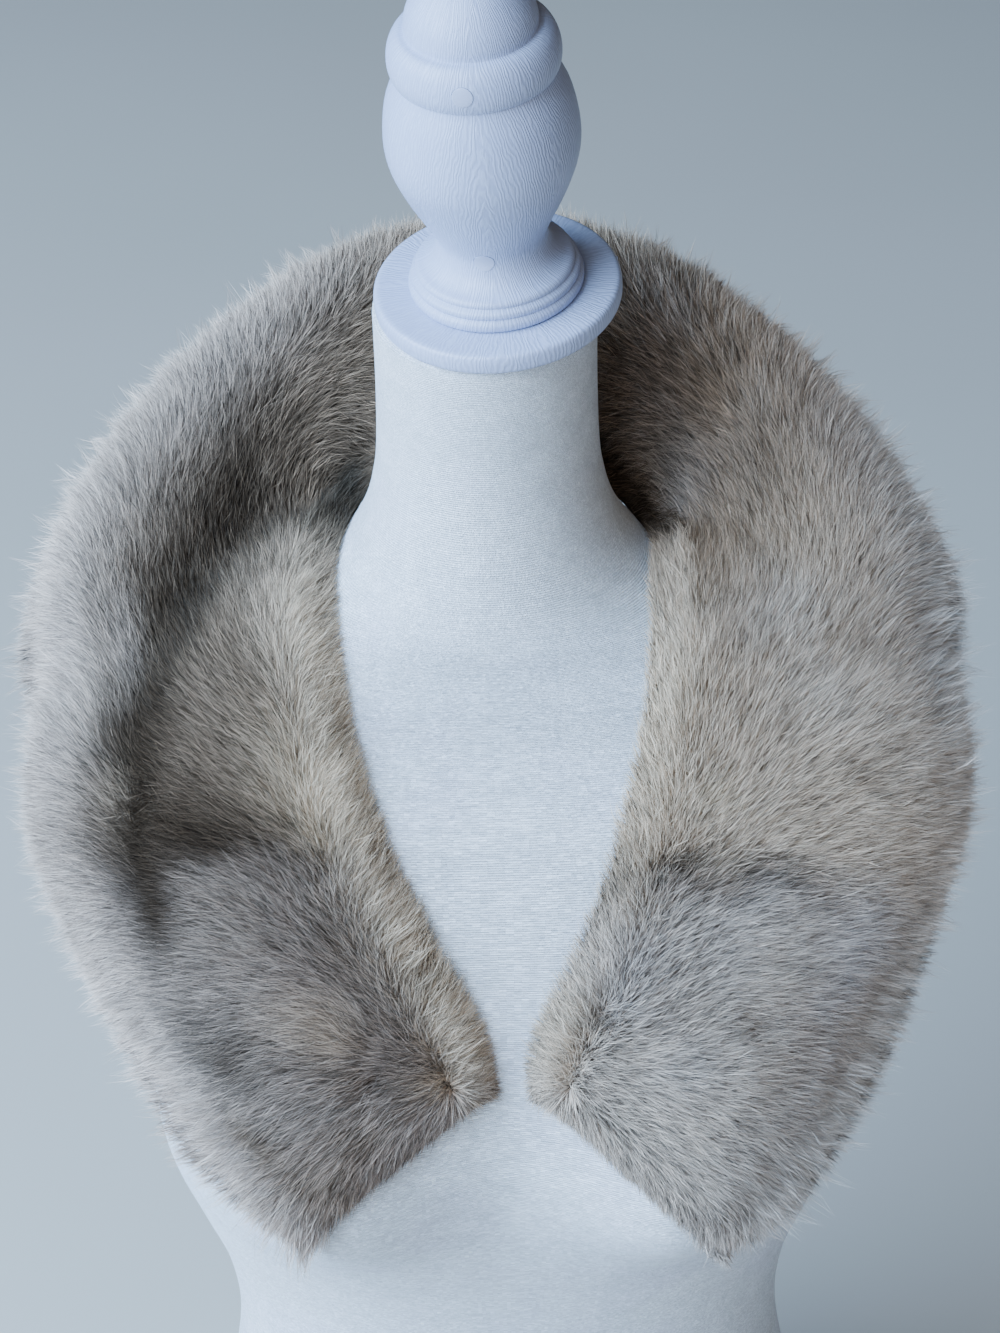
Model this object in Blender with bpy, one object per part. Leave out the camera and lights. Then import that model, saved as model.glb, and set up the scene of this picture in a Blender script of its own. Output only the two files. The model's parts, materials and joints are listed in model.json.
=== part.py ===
"""A fur collar wrap lying on a white, limbless dress form with a turned finial.

Millimetres in the tables, metres in the meshes. +Z is up, the front of the
form is -Y, and the flat cut across the hips stands at z = 0.
"""

import math

import bpy
import numpy as np
from mathutils import Vector
from mathutils.bvhtree import BVHTree

MM = 0.001

# ---------------------------------------------------------------- the form
# Rows of the covered torso, from the neck down: z = height, half = half width,
# front / back = depths from the row's own centre, yc = that centre,
# square = exponent of the rounded section (2 is an ellipse).
TORSO = (
    # z    half   front  back  yc  square
    (740, 44.5, 44.5, 44.5, 1, 2.00),
    (705, 44.5, 44.5, 44.5, 5, 2.00),
    (672, 45.5, 46.0, 46.0, 10, 2.00),
    (656, 47.5, 49.0, 48.0, 12, 2.00),
    (642, 51.0, 52.0, 50.0, 13, 2.02),
    (629, 57.0, 56.0, 53.0, 14, 2.05),
    (617, 67.0, 60.0, 57.0, 14, 2.10),
    (606, 84.0, 65.0, 62.0, 14, 2.20),
    (595, 107.0, 70.0, 68.0, 14, 2.30),
    (583, 132.0, 76.0, 75.0, 13, 2.40),
    (569, 157.0, 82.0, 81.0, 12, 2.45),
    (554, 176.0, 90.0, 88.0, 10, 2.50),
    (538, 188.0, 97.0, 94.0, 8, 2.50),
    (520, 192.5, 102.0, 98.0, 6, 2.50),
    (496, 189.0, 108.0, 101.0, 4, 2.45),
    (465, 178.0, 114.0, 104.0, 1, 2.40),
    (430, 162.0, 118.0, 105.0, -3, 2.35),
    (395, 157.0, 119.0, 102.0, -5, 2.30),
    (360, 158.0, 114.0, 98.0, -5, 2.25),
    (325, 155.0, 106.0, 93.0, -4, 2.20),
    (290, 145.0, 98.0, 90.0, -2, 2.20),
    (250, 133.0, 93.0, 88.0, 0, 2.15),
    (205, 128.5, 92.0, 88.0, 0, 2.15),
    (150, 136.0, 97.0, 96.0, 2, 2.20),
    (100, 150.0, 103.0, 106.0, 5, 2.25),
    (50, 163.0, 108.0, 114.0, 8, 2.30),
    (0, 170.0, 110.0, 118.0, 10, 2.30),
)
TORSO_ROWS = 37
TORSO_SIDES = 64
BUST = {"x": 86.0, "z": 380.0, "out": 40.0, "wide": 52.0, "tall": 54.0}
NECK_SLANT = 9.0  # degrees by which the neck's cut leans to the front
NECK_SLANT_FROM = 690.0

# ------------------------------------------------- the cap and the finial
CAP_AT = (5.0, 0.0, 750.0)  # middle of the cap's upper face
CAP_LEAN = 3.7  # degrees towards -X
LATHE_SIDES = 40
CAP_PROFILE = (  # radius, height along the leaned axis
    (0.0, -9.0),
    (44.0, -9.0),
    (47.2, -8.7),
    (48.7, -7.4),
    (49.0, -5.2),
    (49.0, -3.2),
    (48.5, -1.1),
    (47.1, -0.1),
    (44.0, 0.0),
    (0.0, 0.0),
)
FINIAL_PROFILE = (
    (0.0, 0.3),
    (33.6, 0.3),
    (34.4, 1.2),
    (34.5, 3.4),
    (33.4, 4.9),
    (32.8, 5.3),
    (33.2, 6.3),
    (33.0, 7.9),
    (31.6, 9.0),
    (31.1, 9.4),
    (31.3, 10.6),
    (30.3, 12.0),
    (27.6, 13.2),
    (24.6, 15.6),
    (22.5, 19.0),
    (21.6, 23.0),
    (22.3, 27.0),
    (25.0, 33.0),
    (29.0, 41.0),
    (33.2, 50.5),
    (36.4, 60.0),
    (37.6, 69.0),
    (36.9, 79.0),
    (34.9, 88.5),
    (30.8, 98.4),
    (31.5, 99.4),
    (32.5, 102.0),
    (32.9, 105.8),
    (32.3, 110.4),
    (30.4, 114.6),
    (27.8, 117.0),
    (25.4, 117.6),
    (25.2, 120.5),
    (24.2, 125.0),
    (21.8, 130.0),
    (18.2, 135.0),
    (13.2, 139.5),
    (7.0, 142.6),
    (0.0, 143.8),
)
PLUGS = {  # name: height on the axis, radius there, turn about the axis
    "finial_plug_lower": (25.0, 21.9, -9.0),
    "finial_plug_upper": (107.5, 32.8, -8.5),
}
PLUG_RADIUS = 4.0

# --------------------------------------------------------------- the collar
# Stations along the collar, from the tip on the -X side, round the back of
# the neck, to the tip on the +X side. Each gives four points of the fur's
# own surface: the neck edge, the valley, the rim, and the outer edge below
# the rim, then how far the fur swells above the straight lines between
# them: inner (neck edge to valley) and outer (valley to rim).
STATIONS = (
    # at    neck edge          valley              rim                 outer edge          inner outer
    (-12.0, (-4, -126, 437), (-46, -147, 414), (-80, -160, 389), (-86, -158, 381), 3, 2),
    (-11.0, (-9, -122, 462), (-76, -134, 430), (-119, -141, 414), (-127, -135, 406), 4, 3),
    (-10.0, (-22, -115, 491), (-103, -112, 455), (-151, -99, 438), (-159, -88, 429), 5, 5),
    (-9.0, (-38, -103, 522), (-126, -88, 500), (-173, -64, 467), (-181, -52, 453), 6, 8),
    (-8.0, (-51, -87, 553), (-142, -65, 548), (-181, -46, 513), (-191, -38, 497), 6, 14),
    (-7.0, (-60, -69, 579), (-141, -45, 577), (-186, -23, 555), (-195, -16, 539), 6, 16),
    (-6.0, (-65, -49, 600), (-133, -20, 592), (-193, 9, 581), (-200, 13, 561), 6, 16),
    (-5.0, (-68, -28, 613), (-122, 4, 604), (-187, 43, 610), (-195, 49, 583), 5, 15),
    (-4.0, (-69, -6, 620), (-107, 28, 613), (-162, 71, 643), (-172, 79, 616), 3, 12),
    (-3.0, (-67, 15, 627), (-86, 42, 627), (-128, 92, 677), (-138, 102, 649), 2, 9),
    (-2.0, (-58, 37, 637), (-67, 52, 642), (-88, 110, 703), (-95, 122, 675), 1, 7),
    (-1.0, (-38, 55, 646), (-44, 67, 658), (-48, 121, 718), (-53, 136, 690), 1, 6),
    (0.0, (0, 66, 650), (2, 78, 664), (5, 127, 723), (6, 143, 695), 1, 6),
    (1.0, (38, 55, 646), (46, 66, 657), (58, 122, 716), (63, 136, 688), 1, 6),
    (2.0, (58, 37, 637), (69, 52, 643), (93, 108, 703), (101, 120, 675), 2, 7),
    (3.0, (67, 15, 627), (88, 40, 630), (134, 92, 673), (144, 102, 645), 3, 8),
    (4.0, (69, -6, 620), (108, 24, 622), (165, 71, 641), (175, 78, 613), 5, 10),
    (5.0, (68, -28, 613), (121, 2, 614), (190, 43, 605), (199, 48, 577), 7, 12),
    (6.0, (66, -49, 600), (128, -24, 600), (193, 8, 572), (201, 12, 550), 8, 12),
    (7.0, (61, -69, 579), (130, -50, 578), (189, -25, 540), (198, -18, 521), 8, 12),
    (8.0, (54, -88, 554), (125, -74, 546), (185, -48, 495), (194, -41, 477), 8, 11),
    (9.0, (42, -104, 519), (111, -96, 502), (169, -70, 438), (176, -61, 423), 7, 9),
    (10.0, (28, -115, 487), (91, -116, 460), (146, -104, 407), (154, -96, 397), 6, 7),
    (11.0, (15, -122, 459), (70, -136, 432), (122, -138, 384), (129, -134, 376), 4, 5),
    (12.0, (12, -127, 437), (50, -150, 410), (98, -160, 369), (104, -158, 361), 3, 3),
)
PELTS = {  # node: first and last place along the collar
    "collar_front_l": (-12.0, -8.1),
    "collar_shoulder_l": (-8.1, -3.6),
    "collar_back": (-3.6, 3.6),
    "collar_shoulder_r": (3.6, 8.0),
    "collar_front_r": (8.0, 12.0),
}
PELT_THICK = 17.0  # leather and pile together
EDGE_ROUND = 15.0  # how far in from an edge the thickness is full
END_ROUND = 16.0
SEAM_HALF_GAP = 0.16
SEAM_DIP = 1.6
ALONG_STEP = 11.0
ACROSS = 17
CLEAR = 0.55  # left between the leather and the form
# Dents and swells of the fur: at, across (0 neck edge, 1 outer edge),
# their reaches, and the rise (negative sinks).
RELIEF = (
    (-7.9, 0.45, 0.35, 0.40, -3.0),
    (-9.6, 0.42, 0.8, 0.22, 3.0),
    (-10.6, 0.70, 0.5, 0.16, -2.5),
    (-11.2, 0.22, 0.4, 0.14, 2.0),
    (-6.4, 0.30, 0.9, 0.18, 2.5),
    (-5.0, 0.78, 1.4, 0.16, 1.5),
    (-2.4, 0.62, 1.0, 0.24, -2.0),
    (1.9, 0.55, 0.9, 0.26, -2.5),
    (3.2, 0.42, 0.5, 0.16, 3.0),
    (4.4, 0.40, 0.4, 0.22, -2.5),
    (5.8, 0.52, 1.0, 0.24, 2.5),
    (7.9, 0.30, 0.3, 0.16, -4.0),
    (8.1, 0.62, 0.35, 0.24, -2.5),
    (9.2, 0.60, 0.9, 0.24, 3.0),
    (9.7, 0.14, 0.35, 0.12, -3.0),
    (10.8, 0.55, 0.7, 0.22, 2.0),
)


def clear_scene():
    for obj in list(bpy.data.objects):
        bpy.data.objects.remove(obj, do_unlink=True)


def through(table, t):
    """A smooth curve through the rows of a table, at the row numbers t."""
    rows = np.asarray(table, float)
    t = np.clip(np.asarray(t, float), 0, len(rows) - 1 - 1e-9)
    i = t.astype(int)
    f = (t - i).reshape(t.shape + (1,) * (rows.ndim - 1))

    def row(k):
        return rows[np.clip(k, 0, len(rows) - 1)]

    a, b, c, d = row(i - 1), row(i), row(i + 1), row(i + 2)
    return 0.5 * (
        2 * b
        + (c - a) * f
        + (2 * a - 5 * b + 4 * c - d) * f**2
        + (3 * b - a - 3 * c + d) * f**3
    )


def mesh_object(name, points, faces, colour, roughness, smooth=True):
    mesh = bpy.data.meshes.new(name)
    mesh.from_pydata([tuple(p) for p in np.asarray(points) * MM], [], faces)
    mesh.validate()
    mesh.update()
    for polygon in mesh.polygons:
        polygon.use_smooth = smooth
    obj = bpy.data.objects.new(name, mesh)
    bpy.context.scene.collection.objects.link(obj)
    material = bpy.data.materials.new(name)
    material.use_nodes = True
    shader = material.node_tree.nodes["Principled BSDF"]
    shader.inputs["Base Color"].default_value = (*colour, 1.0)
    shader.inputs["Roughness"].default_value = roughness
    mesh.materials.append(material)
    return obj


# ---------------------------------------------------------------- the form
def torso_points():
    t = np.linspace(0, len(TORSO) - 1, TORSO_ROWS)
    turn = np.arange(TORSO_SIDES) * 2 * math.pi / TORSO_SIDES
    rows = through(TORSO, t)[:, None, :]
    z, half, front, back, yc, square = (rows[..., k] for k in range(6))
    c, s = np.cos(turn)[None, :], np.sin(turn)[None, :]
    x = half * np.sign(c) * np.abs(c) ** (2 / square)
    y = yc + np.where(s < 0, front, back) * np.sign(s) * np.abs(s) ** (2 / square)
    z = z + 0 * x
    tall = BUST["tall"] * np.where(z > BUST["z"], 1.2, 0.95)
    swell = np.exp(
        -(((np.abs(x) - BUST["x"]) / BUST["wide"]) ** 2)
        - ((z - BUST["z"]) / tall) ** 2
    )
    y = y - BUST["out"] * swell * np.clip(-s, 0, 1) ** 0.5
    slant = np.clip((z - NECK_SLANT_FROM) / (TORSO[0][0] - NECK_SLANT_FROM), 0, 1)
    front, side = math.radians(NECK_SLANT), math.radians(CAP_LEAN)
    slope_y = math.tan(front) / math.cos(side)
    z = z + slant * (slope_y * y + math.tan(side) * x)
    return np.stack([x, y, z], -1)


def make_torso():
    grid = torso_points()
    rows, sides = grid.shape[:2]
    points = list(grid.reshape(-1, 3))
    faces = []
    for i in range(rows - 1):
        for j in range(sides):
            k = (j + 1) % sides
            faces.append(
                (i * sides + j, (i + 1) * sides + j, (i + 1) * sides + k, i * sides + k)
            )
    points += [grid[0].mean(0), grid[-1].mean(0)]
    top, low, last = len(points) - 2, len(points) - 1, (rows - 1) * sides
    for j in range(sides):
        k = (j + 1) % sides
        faces.append((top, j, k))
        faces.append((low, last + k, last + j))
    return mesh_object("form_torso", points, faces, (0.84, 0.84, 0.86), 0.7)


# ------------------------------------------------------ cap, finial, plugs
def leaned(points):
    """From the finial's own upright axis to its place on the slanted neck."""
    front, side = math.radians(NECK_SLANT), math.radians(CAP_LEAN)
    about_x = np.array(
        [
            [1, 0, 0],
            [0, math.cos(front), -math.sin(front)],
            [0, math.sin(front), math.cos(front)],
        ]
    )
    about_y = np.array(
        [
            [math.cos(side), 0, -math.sin(side)],
            [0, 1, 0],
            [math.sin(side), 0, math.cos(side)],
        ]
    )
    return np.asarray(points) @ about_x.T @ about_y.T + np.array(CAP_AT)


def lathe(name, profile, sides, colour, roughness):
    turn = np.arange(sides) * 2 * math.pi / sides
    points, faces = [(0.0, 0.0, profile[0][1])], []
    for radius, height in profile[1:-1]:
        points += [(radius * math.cos(a), radius * math.sin(a), height) for a in turn]
    points.append((0.0, 0.0, profile[-1][1]))
    rings, last = len(profile) - 2, len(points) - 1
    for j in range(sides):
        k = (j + 1) % sides
        faces.append((0, 1 + k, 1 + j))
        for i in range(rings - 1):
            a, b = 1 + i * sides, 1 + (i + 1) * sides
            faces.append((a + j, a + k, b + k, b + j))
        top = 1 + (rings - 1) * sides
        faces.append((last, top + j, top + k))
    return mesh_object(name, leaned(points), faces, colour, roughness)


def plug_points(radius, height, turn, wide, inner, outer, sides=16):
    """A short cylinder across the finial's wall, on its front."""
    a = math.radians(-90 + turn)
    out = np.array([math.cos(a), math.sin(a), 0.0])
    side = np.array([-math.sin(a), math.cos(a), 0.0])
    up = np.array([0.0, 0.0, 1.0])
    points = []
    for reach in (radius - inner, radius + outer):
        for k in range(sides):
            b = 2 * math.pi * k / sides
            points.append(
                out * reach
                + side * wide * math.cos(b)
                + up * (height + wide * math.sin(b))
            )
    faces = [tuple(reversed(range(sides))), tuple(range(sides, 2 * sides))]
    for k in range(sides):
        n = (k + 1) % sides
        faces.append((k, n, sides + n, sides + k))
    return leaned(points), faces


def make_cap_and_finial():
    white = (0.86, 0.87, 0.90)
    lathe("neck_cap", CAP_PROFILE, 48, white, 0.4)
    finial = lathe("finial", FINIAL_PROFILE, LATHE_SIDES, white, 0.4)
    for name, (height, radius, turn) in PLUGS.items():
        points, faces = plug_points(radius, height, turn, PLUG_RADIUS + 0.3, 2.6, 6)
        cutter = mesh_object(name + "_bore", points, faces, white, 0.4)
        cutter.hide_render = True
        cut = finial.modifiers.new(name, "BOOLEAN")
        cut.operation = "DIFFERENCE"
        cut.solver = "EXACT"
        cut.object = cutter
        points, faces = plug_points(radius, height, turn, PLUG_RADIUS, 2.2, 0.35)
        mesh_object(name, points, faces, white, 0.4, smooth=False)
    # The bores are cut once and their cutters removed.
    bpy.context.view_layer.update()
    graph = bpy.context.evaluated_depsgraph_get()
    cut_mesh = bpy.data.meshes.new_from_object(finial.evaluated_get(graph))
    finial.modifiers.clear()
    finial.data = cut_mesh
    cut_mesh.name = "finial"
    for name in PLUGS:
        bpy.data.objects.remove(bpy.data.objects[name + "_bore"], do_unlink=True)


# --------------------------------------------------------------- the collar
def section(at):
    """Fine points of the fur's surface across the collar, from the neck edge."""
    places = np.array([row[0] for row in STATIONS])
    t = np.interp(at, places, np.arange(len(places)))
    neck, valley, rim, edge = (
        through([row[k] for row in STATIONS], t) for k in (1, 2, 3, 4)
    )
    inner, outer = (through([row[k] for row in STATIONS], t) for k in (5, 6))
    middle = through([row[3] for row in STATIONS], t)
    ahead = through([row[3] for row in STATIONS], t + 0.05) - through(
        [row[3] for row in STATIONS], t - 0.05
    )
    ahead /= np.linalg.norm(ahead)

    def above(a, b, rise):
        up = np.cross(ahead, b - a)
        up /= np.linalg.norm(up)
        return (a + b) / 2 + up * rise

    points = [
        neck,
        above(neck, valley, inner),
        valley,
        above(valley, middle, outer),
        rim,
        edge,
    ]
    curve = through(points, np.linspace(0, len(points) - 1, 121))
    return curve, ahead


def across_shares():
    """Shares of the width, closer together at both edges."""
    t = np.linspace(0, 1, ACROSS)
    return t - 0.09 * np.sin(2 * math.pi * t)


def grid_normals(grid):
    along = np.gradient(grid, axis=0)
    across = np.gradient(grid, axis=1)
    normal = np.cross(along, across)
    return normal / np.linalg.norm(normal, axis=2, keepdims=True)


def softened(field, rounds):
    for _ in range(rounds):
        padded = np.pad(field, ((1, 1), (1, 1)) + ((0, 0),) * (field.ndim - 2), "edge")
        field = 0.5 * field + 0.125 * (
            padded[:-2, 1:-1] + padded[2:, 1:-1] + padded[1:-1, :-2] + padded[1:-1, 2:]
        )
    return field


def eased(grid, rounds):
    """The grid with its inner points evened out, its border left alone."""
    for _ in range(rounds):
        soft = softened(grid, 1)
        grid = grid.copy()
        grid[1:-1, 1:-1] = soft[1:-1, 1:-1]
    return grid


def distance_to(tree, point):
    """Signed distance of a point from the form, and the way out of it."""
    near, normal, _, _ = tree.find_nearest(Vector(point))
    away = np.asarray(point) - np.asarray(near)
    reach = float(np.linalg.norm(away))
    side = float(np.dot(away, np.asarray(normal)))
    if reach > 1e-6:
        out = away / reach * (1 if side >= 0 else -1)
    else:
        out = np.asarray(normal)
    return (reach if side >= 0 else -reach), out


def thickness_shares(grid, places):
    """1 where the pelt is full, falling round to 0 at its own free edges."""
    run = np.concatenate(
        [
            np.zeros((len(grid), 1)),
            np.cumsum(np.linalg.norm(np.diff(grid, axis=1), axis=2), axis=1),
        ],
        axis=1,
    )
    near = np.minimum(run, run[:, -1:] - run) / EDGE_ROUND
    share = np.sqrt(np.clip(1 - (1 - np.clip(near, 0, 1)) ** 2, 0, 1))
    middle = grid[:, grid.shape[1] // 2]
    along = np.concatenate(
        [[0], np.cumsum(np.linalg.norm(np.diff(middle, axis=0), axis=1))]
    )
    from_tip = np.minimum(along, along[-1] - along) / END_ROUND
    tip = np.sqrt(np.clip(1 - (1 - np.clip(from_tip, 0, 1)) ** 2, 0, 1))
    return share * tip[:, None]


def relief(places, shares):
    rise = np.zeros((len(places), len(shares)))
    at, across = places[:, None], shares[None, :]
    for dent_at, dent_across, along_reach, across_reach, height in RELIEF:
        rise += height * np.exp(
            -(((at - dent_at) / along_reach) ** 2)
            - ((across - dent_across) / across_reach) ** 2
        )
    rise += 0.8 * np.sin(at * 5.1 + 3.0 * across) * np.sin(across * 11.0 + at * 1.3)
    rise += 0.5 * np.sin(at * 9.7 - 5.0 * across + 1.0) * np.sin(across * 17.0 - at)
    for seam in [reach[1] for reach in PELTS.values()][:-1]:
        rise -= SEAM_DIP * np.exp(-(((at - seam) / 0.12) ** 2))
    return rise


def rested(tree, grid, thick):
    """The grid moved so that its leather lies on the form where it is near."""
    for _ in range(3):
        move = np.zeros_like(grid)
        for i in range(grid.shape[0]):
            for j in range(grid.shape[1]):
                reach, out = distance_to(tree, grid[i, j] * MM)
                need = thick[i, j] + CLEAR
                gap = reach / MM - need
                if gap < 0:
                    wanted = 0.0
                elif gap < 6:
                    wanted = gap * gap / 12
                else:
                    wanted = gap - 3 * math.exp(-(gap - 6) / 12)
                move[i, j] = out * (wanted - gap)
        grid = grid + softened(move, 2)
    return grid


def lift_between(tree, under):
    """Lifts the leather where a facet, between its corners, would dip too near."""
    rows, columns = under.shape[:2]
    spans = [(0, 0, 1, 0), (0, 0, 0, 1), (0, 0, 1, 1), (1, 0, 0, 1)]
    for _ in range(4):
        lift = np.zeros(under.shape)
        for i in range(rows):
            for j in range(columns):
                for a, b, c, d in spans:
                    if i + max(a, c) >= rows or j + max(b, d) >= columns:
                        continue
                    ends = (i + a, j + b), (i + c, j + d)
                    for share in (0.25, 0.5, 0.75):
                        at = under[ends[0]] * (1 - share) + under[ends[1]] * share
                        reach, out = distance_to(tree, at * MM)
                        short = CLEAR * 0.75 - reach / MM
                        for end in ends:
                            if short > np.linalg.norm(lift[end]):
                                lift[end] = out * short
        under += lift


def make_collar(torso):
    tree = BVHTree.FromObject(torso, bpy.context.evaluated_depsgraph_get())
    # The whole collar is one grid, so that neighbours match along a seam.
    places = []
    for first, last in PELTS.values():
        marks = np.linspace(first, last, 9)
        rim = [section(at)[0][90] for at in marks]
        length = float(np.linalg.norm(np.diff(rim, axis=0), axis=1).sum())
        steps = max(4, round(length / ALONG_STEP))
        places += list(np.linspace(first, last, steps + 1)[:-1])
    places.append(12.0)
    places = np.array(places)
    # Rows closer together at both tips, where the pelt rounds off.
    for tip in (-12.0, 12.0):
        side = -np.sign(tip)
        extra = [tip + side * reach for reach in (0.035, 0.11)]
        places = np.sort(np.concatenate([places, extra]))
    grid = []
    shares = across_shares()
    for at in places:
        curve, _ = section(at)
        run = np.concatenate(
            [[0], np.cumsum(np.linalg.norm(np.diff(curve, axis=0), axis=1))]
        )
        grid.append(
            np.stack(
                [np.interp(shares * run[-1], run, curve[:, k]) for k in range(3)], 1
            )
        )
    grid = eased(np.array(grid), 6)
    grid = grid + grid_normals(grid) * (
        relief(places, shares) * np.clip(np.sin(math.pi * shares), 0, 1)[None, :] ** 0.5
    )[..., None]
    thick = PELT_THICK * thickness_shares(grid, places)
    grid = eased(rested(tree, grid, thick), 2)
    normal = softened(grid_normals(grid), 2)
    normal /= np.linalg.norm(normal, axis=2, keepdims=True)
    under = grid - normal * thick[..., None]
    for i in range(under.shape[0]):
        for j in range(under.shape[1]):
            for surface in (under, grid):
                for _ in range(2):
                    reach, out = distance_to(tree, surface[i, j] * MM)
                    if reach / MM < CLEAR:
                        surface[i, j] = surface[i, j] + out * (CLEAR - reach / MM)
    lift_between(tree, under)
    edge_rows = under[:, (0, -1)].copy(), under[(0, -1), :].copy()
    grid[:, (0, -1)], grid[(0, -1), :] = edge_rows
    for name, (first, last) in PELTS.items():
        inside = np.where((places >= first - 1e-6) & (places <= last + 1e-6))[0]
        pelt_solid(
            name,
            grid[inside],
            under[inside],
            normal[inside],
            open_first=first == -12.0,
            open_last=last == 12.0,
        )


def pelt_solid(name, over, under, normal, open_first, open_last):
    """One pelt: fur side, leather side, rounded free edges, plain seam ends."""
    over, under = over.copy(), under.copy()
    rows, columns = over.shape[:2]
    for row, step, is_open in ((0, 1, open_first), (rows - 1, -1, open_last)):
        if not is_open:
            back = np.cross(np.gradient(over[row], axis=0), normal[row])
            inwards = ((over[row + step] - over[row]) * back).sum(1, keepdims=True)
            back *= np.sign(inwards) / np.linalg.norm(back, axis=1, keepdims=True)
            over[row] += back * SEAM_HALF_GAP
            under[row] += back * SEAM_HALF_GAP
    points, index = [], {}

    def at(side, i, j):
        edge = j in (0, columns - 1) or (i == 0 and open_first)
        edge = edge or (i == rows - 1 and open_last)
        key = (0 if edge else side, i, j)
        if key not in index:
            index[key] = len(points)
            points.append((over if key[0] == 0 else under)[i, j])
        return index[key]

    faces = []
    for i in range(rows - 1):
        for j in range(columns - 1):
            for side in (0, 1):
                quad = [
                    at(side, i, j),
                    at(side, i + 1, j),
                    at(side, i + 1, j + 1),
                    at(side, i, j + 1),
                ]
                # Split along the shorter way across, so that folds stay clean.
                a, b, c, d = (points[k] for k in quad)
                turned = np.linalg.norm(a - c) > np.linalg.norm(b - d)
                # In a free corner the split runs from the corner inwards.
                tip_row = (i == 0 and open_first) or (i == rows - 2 and open_last)
                if tip_row and j in (0, columns - 2):
                    turned = (i == 0) != (j == 0)
                if turned:
                    quad = quad[1:] + quad[:1]
                for corners in (quad[:3], [quad[0], quad[2], quad[3]]):
                    if len(set(corners)) == 3:
                        faces.append(tuple(corners[::-1] if side else corners))
    for row, is_open, flip in ((0, open_first, False), (rows - 1, open_last, True)):
        if is_open:
            continue
        for j in range(columns - 1):
            a, b = at(0, row, j), at(0, row, j + 1)
            c, d = at(1, row, j + 1), at(1, row, j)
            # Both neighbours of a seam split their end the same way.
            for corners in ((a, b, c), (a, c, d)):
                if len(set(corners)) == 3:
                    faces.append(corners[::-1] if flip else corners)
    mesh_object(name, points, faces, (0.46, 0.42, 0.37), 0.8)


clear_scene()
torso_object = make_torso()
make_cap_and_finial()
bpy.context.view_layer.update()
make_collar(torso_object)
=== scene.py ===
"""A fur collar wrap lying on a white, limbless dress form with a turned finial.

The tables are in millimetres and the meshes in metres. +Z is up, the form's
front is -Y, and the form stands at z = 0.
"""

import json
import math

import bpy
import numpy as np
from mathutils import Matrix, Vector
from mathutils.bvhtree import BVHTree

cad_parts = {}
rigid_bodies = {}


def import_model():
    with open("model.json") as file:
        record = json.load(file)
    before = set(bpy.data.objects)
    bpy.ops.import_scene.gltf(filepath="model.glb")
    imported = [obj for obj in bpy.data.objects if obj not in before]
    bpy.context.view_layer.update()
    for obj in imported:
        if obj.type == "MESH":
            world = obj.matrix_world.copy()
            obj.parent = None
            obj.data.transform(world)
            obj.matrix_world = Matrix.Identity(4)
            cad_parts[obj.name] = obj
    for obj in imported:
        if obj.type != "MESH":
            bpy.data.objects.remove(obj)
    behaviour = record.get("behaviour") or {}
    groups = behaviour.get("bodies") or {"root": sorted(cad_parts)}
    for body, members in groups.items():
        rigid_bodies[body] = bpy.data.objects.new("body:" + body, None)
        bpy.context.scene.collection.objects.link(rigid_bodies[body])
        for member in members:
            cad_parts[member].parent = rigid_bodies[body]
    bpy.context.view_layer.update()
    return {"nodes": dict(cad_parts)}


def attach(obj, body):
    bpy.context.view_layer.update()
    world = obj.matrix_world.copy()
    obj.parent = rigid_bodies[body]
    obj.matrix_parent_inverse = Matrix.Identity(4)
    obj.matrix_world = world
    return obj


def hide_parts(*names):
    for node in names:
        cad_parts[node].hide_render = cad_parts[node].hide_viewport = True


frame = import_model()

MM = 0.001

# ---------------------------------------------------------------- the form
TORSO = (  # z, half width, front depth, back depth, middle, squareness
    (740, 44.5, 44.5, 44.5, 1, 2.00),
    (705, 44.5, 44.5, 44.5, 5, 2.00),
    (672, 45.5, 46.0, 46.0, 10, 2.00),
    (656, 47.5, 49.0, 48.0, 12, 2.00),
    (642, 51.0, 52.0, 50.0, 13, 2.02),
    (629, 57.0, 56.0, 53.0, 14, 2.05),
    (617, 67.0, 60.0, 57.0, 14, 2.10),
    (606, 84.0, 65.0, 62.0, 14, 2.20),
    (595, 107.0, 70.0, 68.0, 14, 2.30),
    (583, 132.0, 76.0, 75.0, 13, 2.40),
    (569, 157.0, 82.0, 81.0, 12, 2.45),
    (554, 176.0, 90.0, 88.0, 10, 2.50),
    (538, 188.0, 97.0, 94.0, 8, 2.50),
    (520, 192.5, 102.0, 98.0, 6, 2.50),
    (496, 189.0, 108.0, 101.0, 4, 2.45),
    (465, 178.0, 114.0, 104.0, 1, 2.40),
    (430, 162.0, 118.0, 105.0, -3, 2.35),
    (395, 157.0, 119.0, 102.0, -5, 2.30),
    (360, 158.0, 114.0, 98.0, -5, 2.25),
    (325, 155.0, 106.0, 93.0, -4, 2.20),
    (290, 145.0, 98.0, 90.0, -2, 2.20),
    (250, 133.0, 93.0, 88.0, 0, 2.15),
    (205, 128.5, 92.0, 88.0, 0, 2.15),
    (150, 136.0, 97.0, 96.0, 2, 2.20),
    (100, 150.0, 103.0, 106.0, 5, 2.25),
    (50, 163.0, 108.0, 114.0, 8, 2.30),
    (0, 170.0, 110.0, 118.0, 10, 2.30),
)
NECK_TOP = TORSO[0][0]
TORSO_ROWS = 109
TORSO_SIDES = 128
BUST = {"x": 86.0, "z": 380.0, "out": 40.0, "wide": 52.0, "tall": 54.0}
NECK_SLANT = 9.0
NECK_SLANT_FROM = 690.0
CAP_AT = (5.0, 0.0, 750.0)
CAP_LEAN = 3.7
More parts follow.
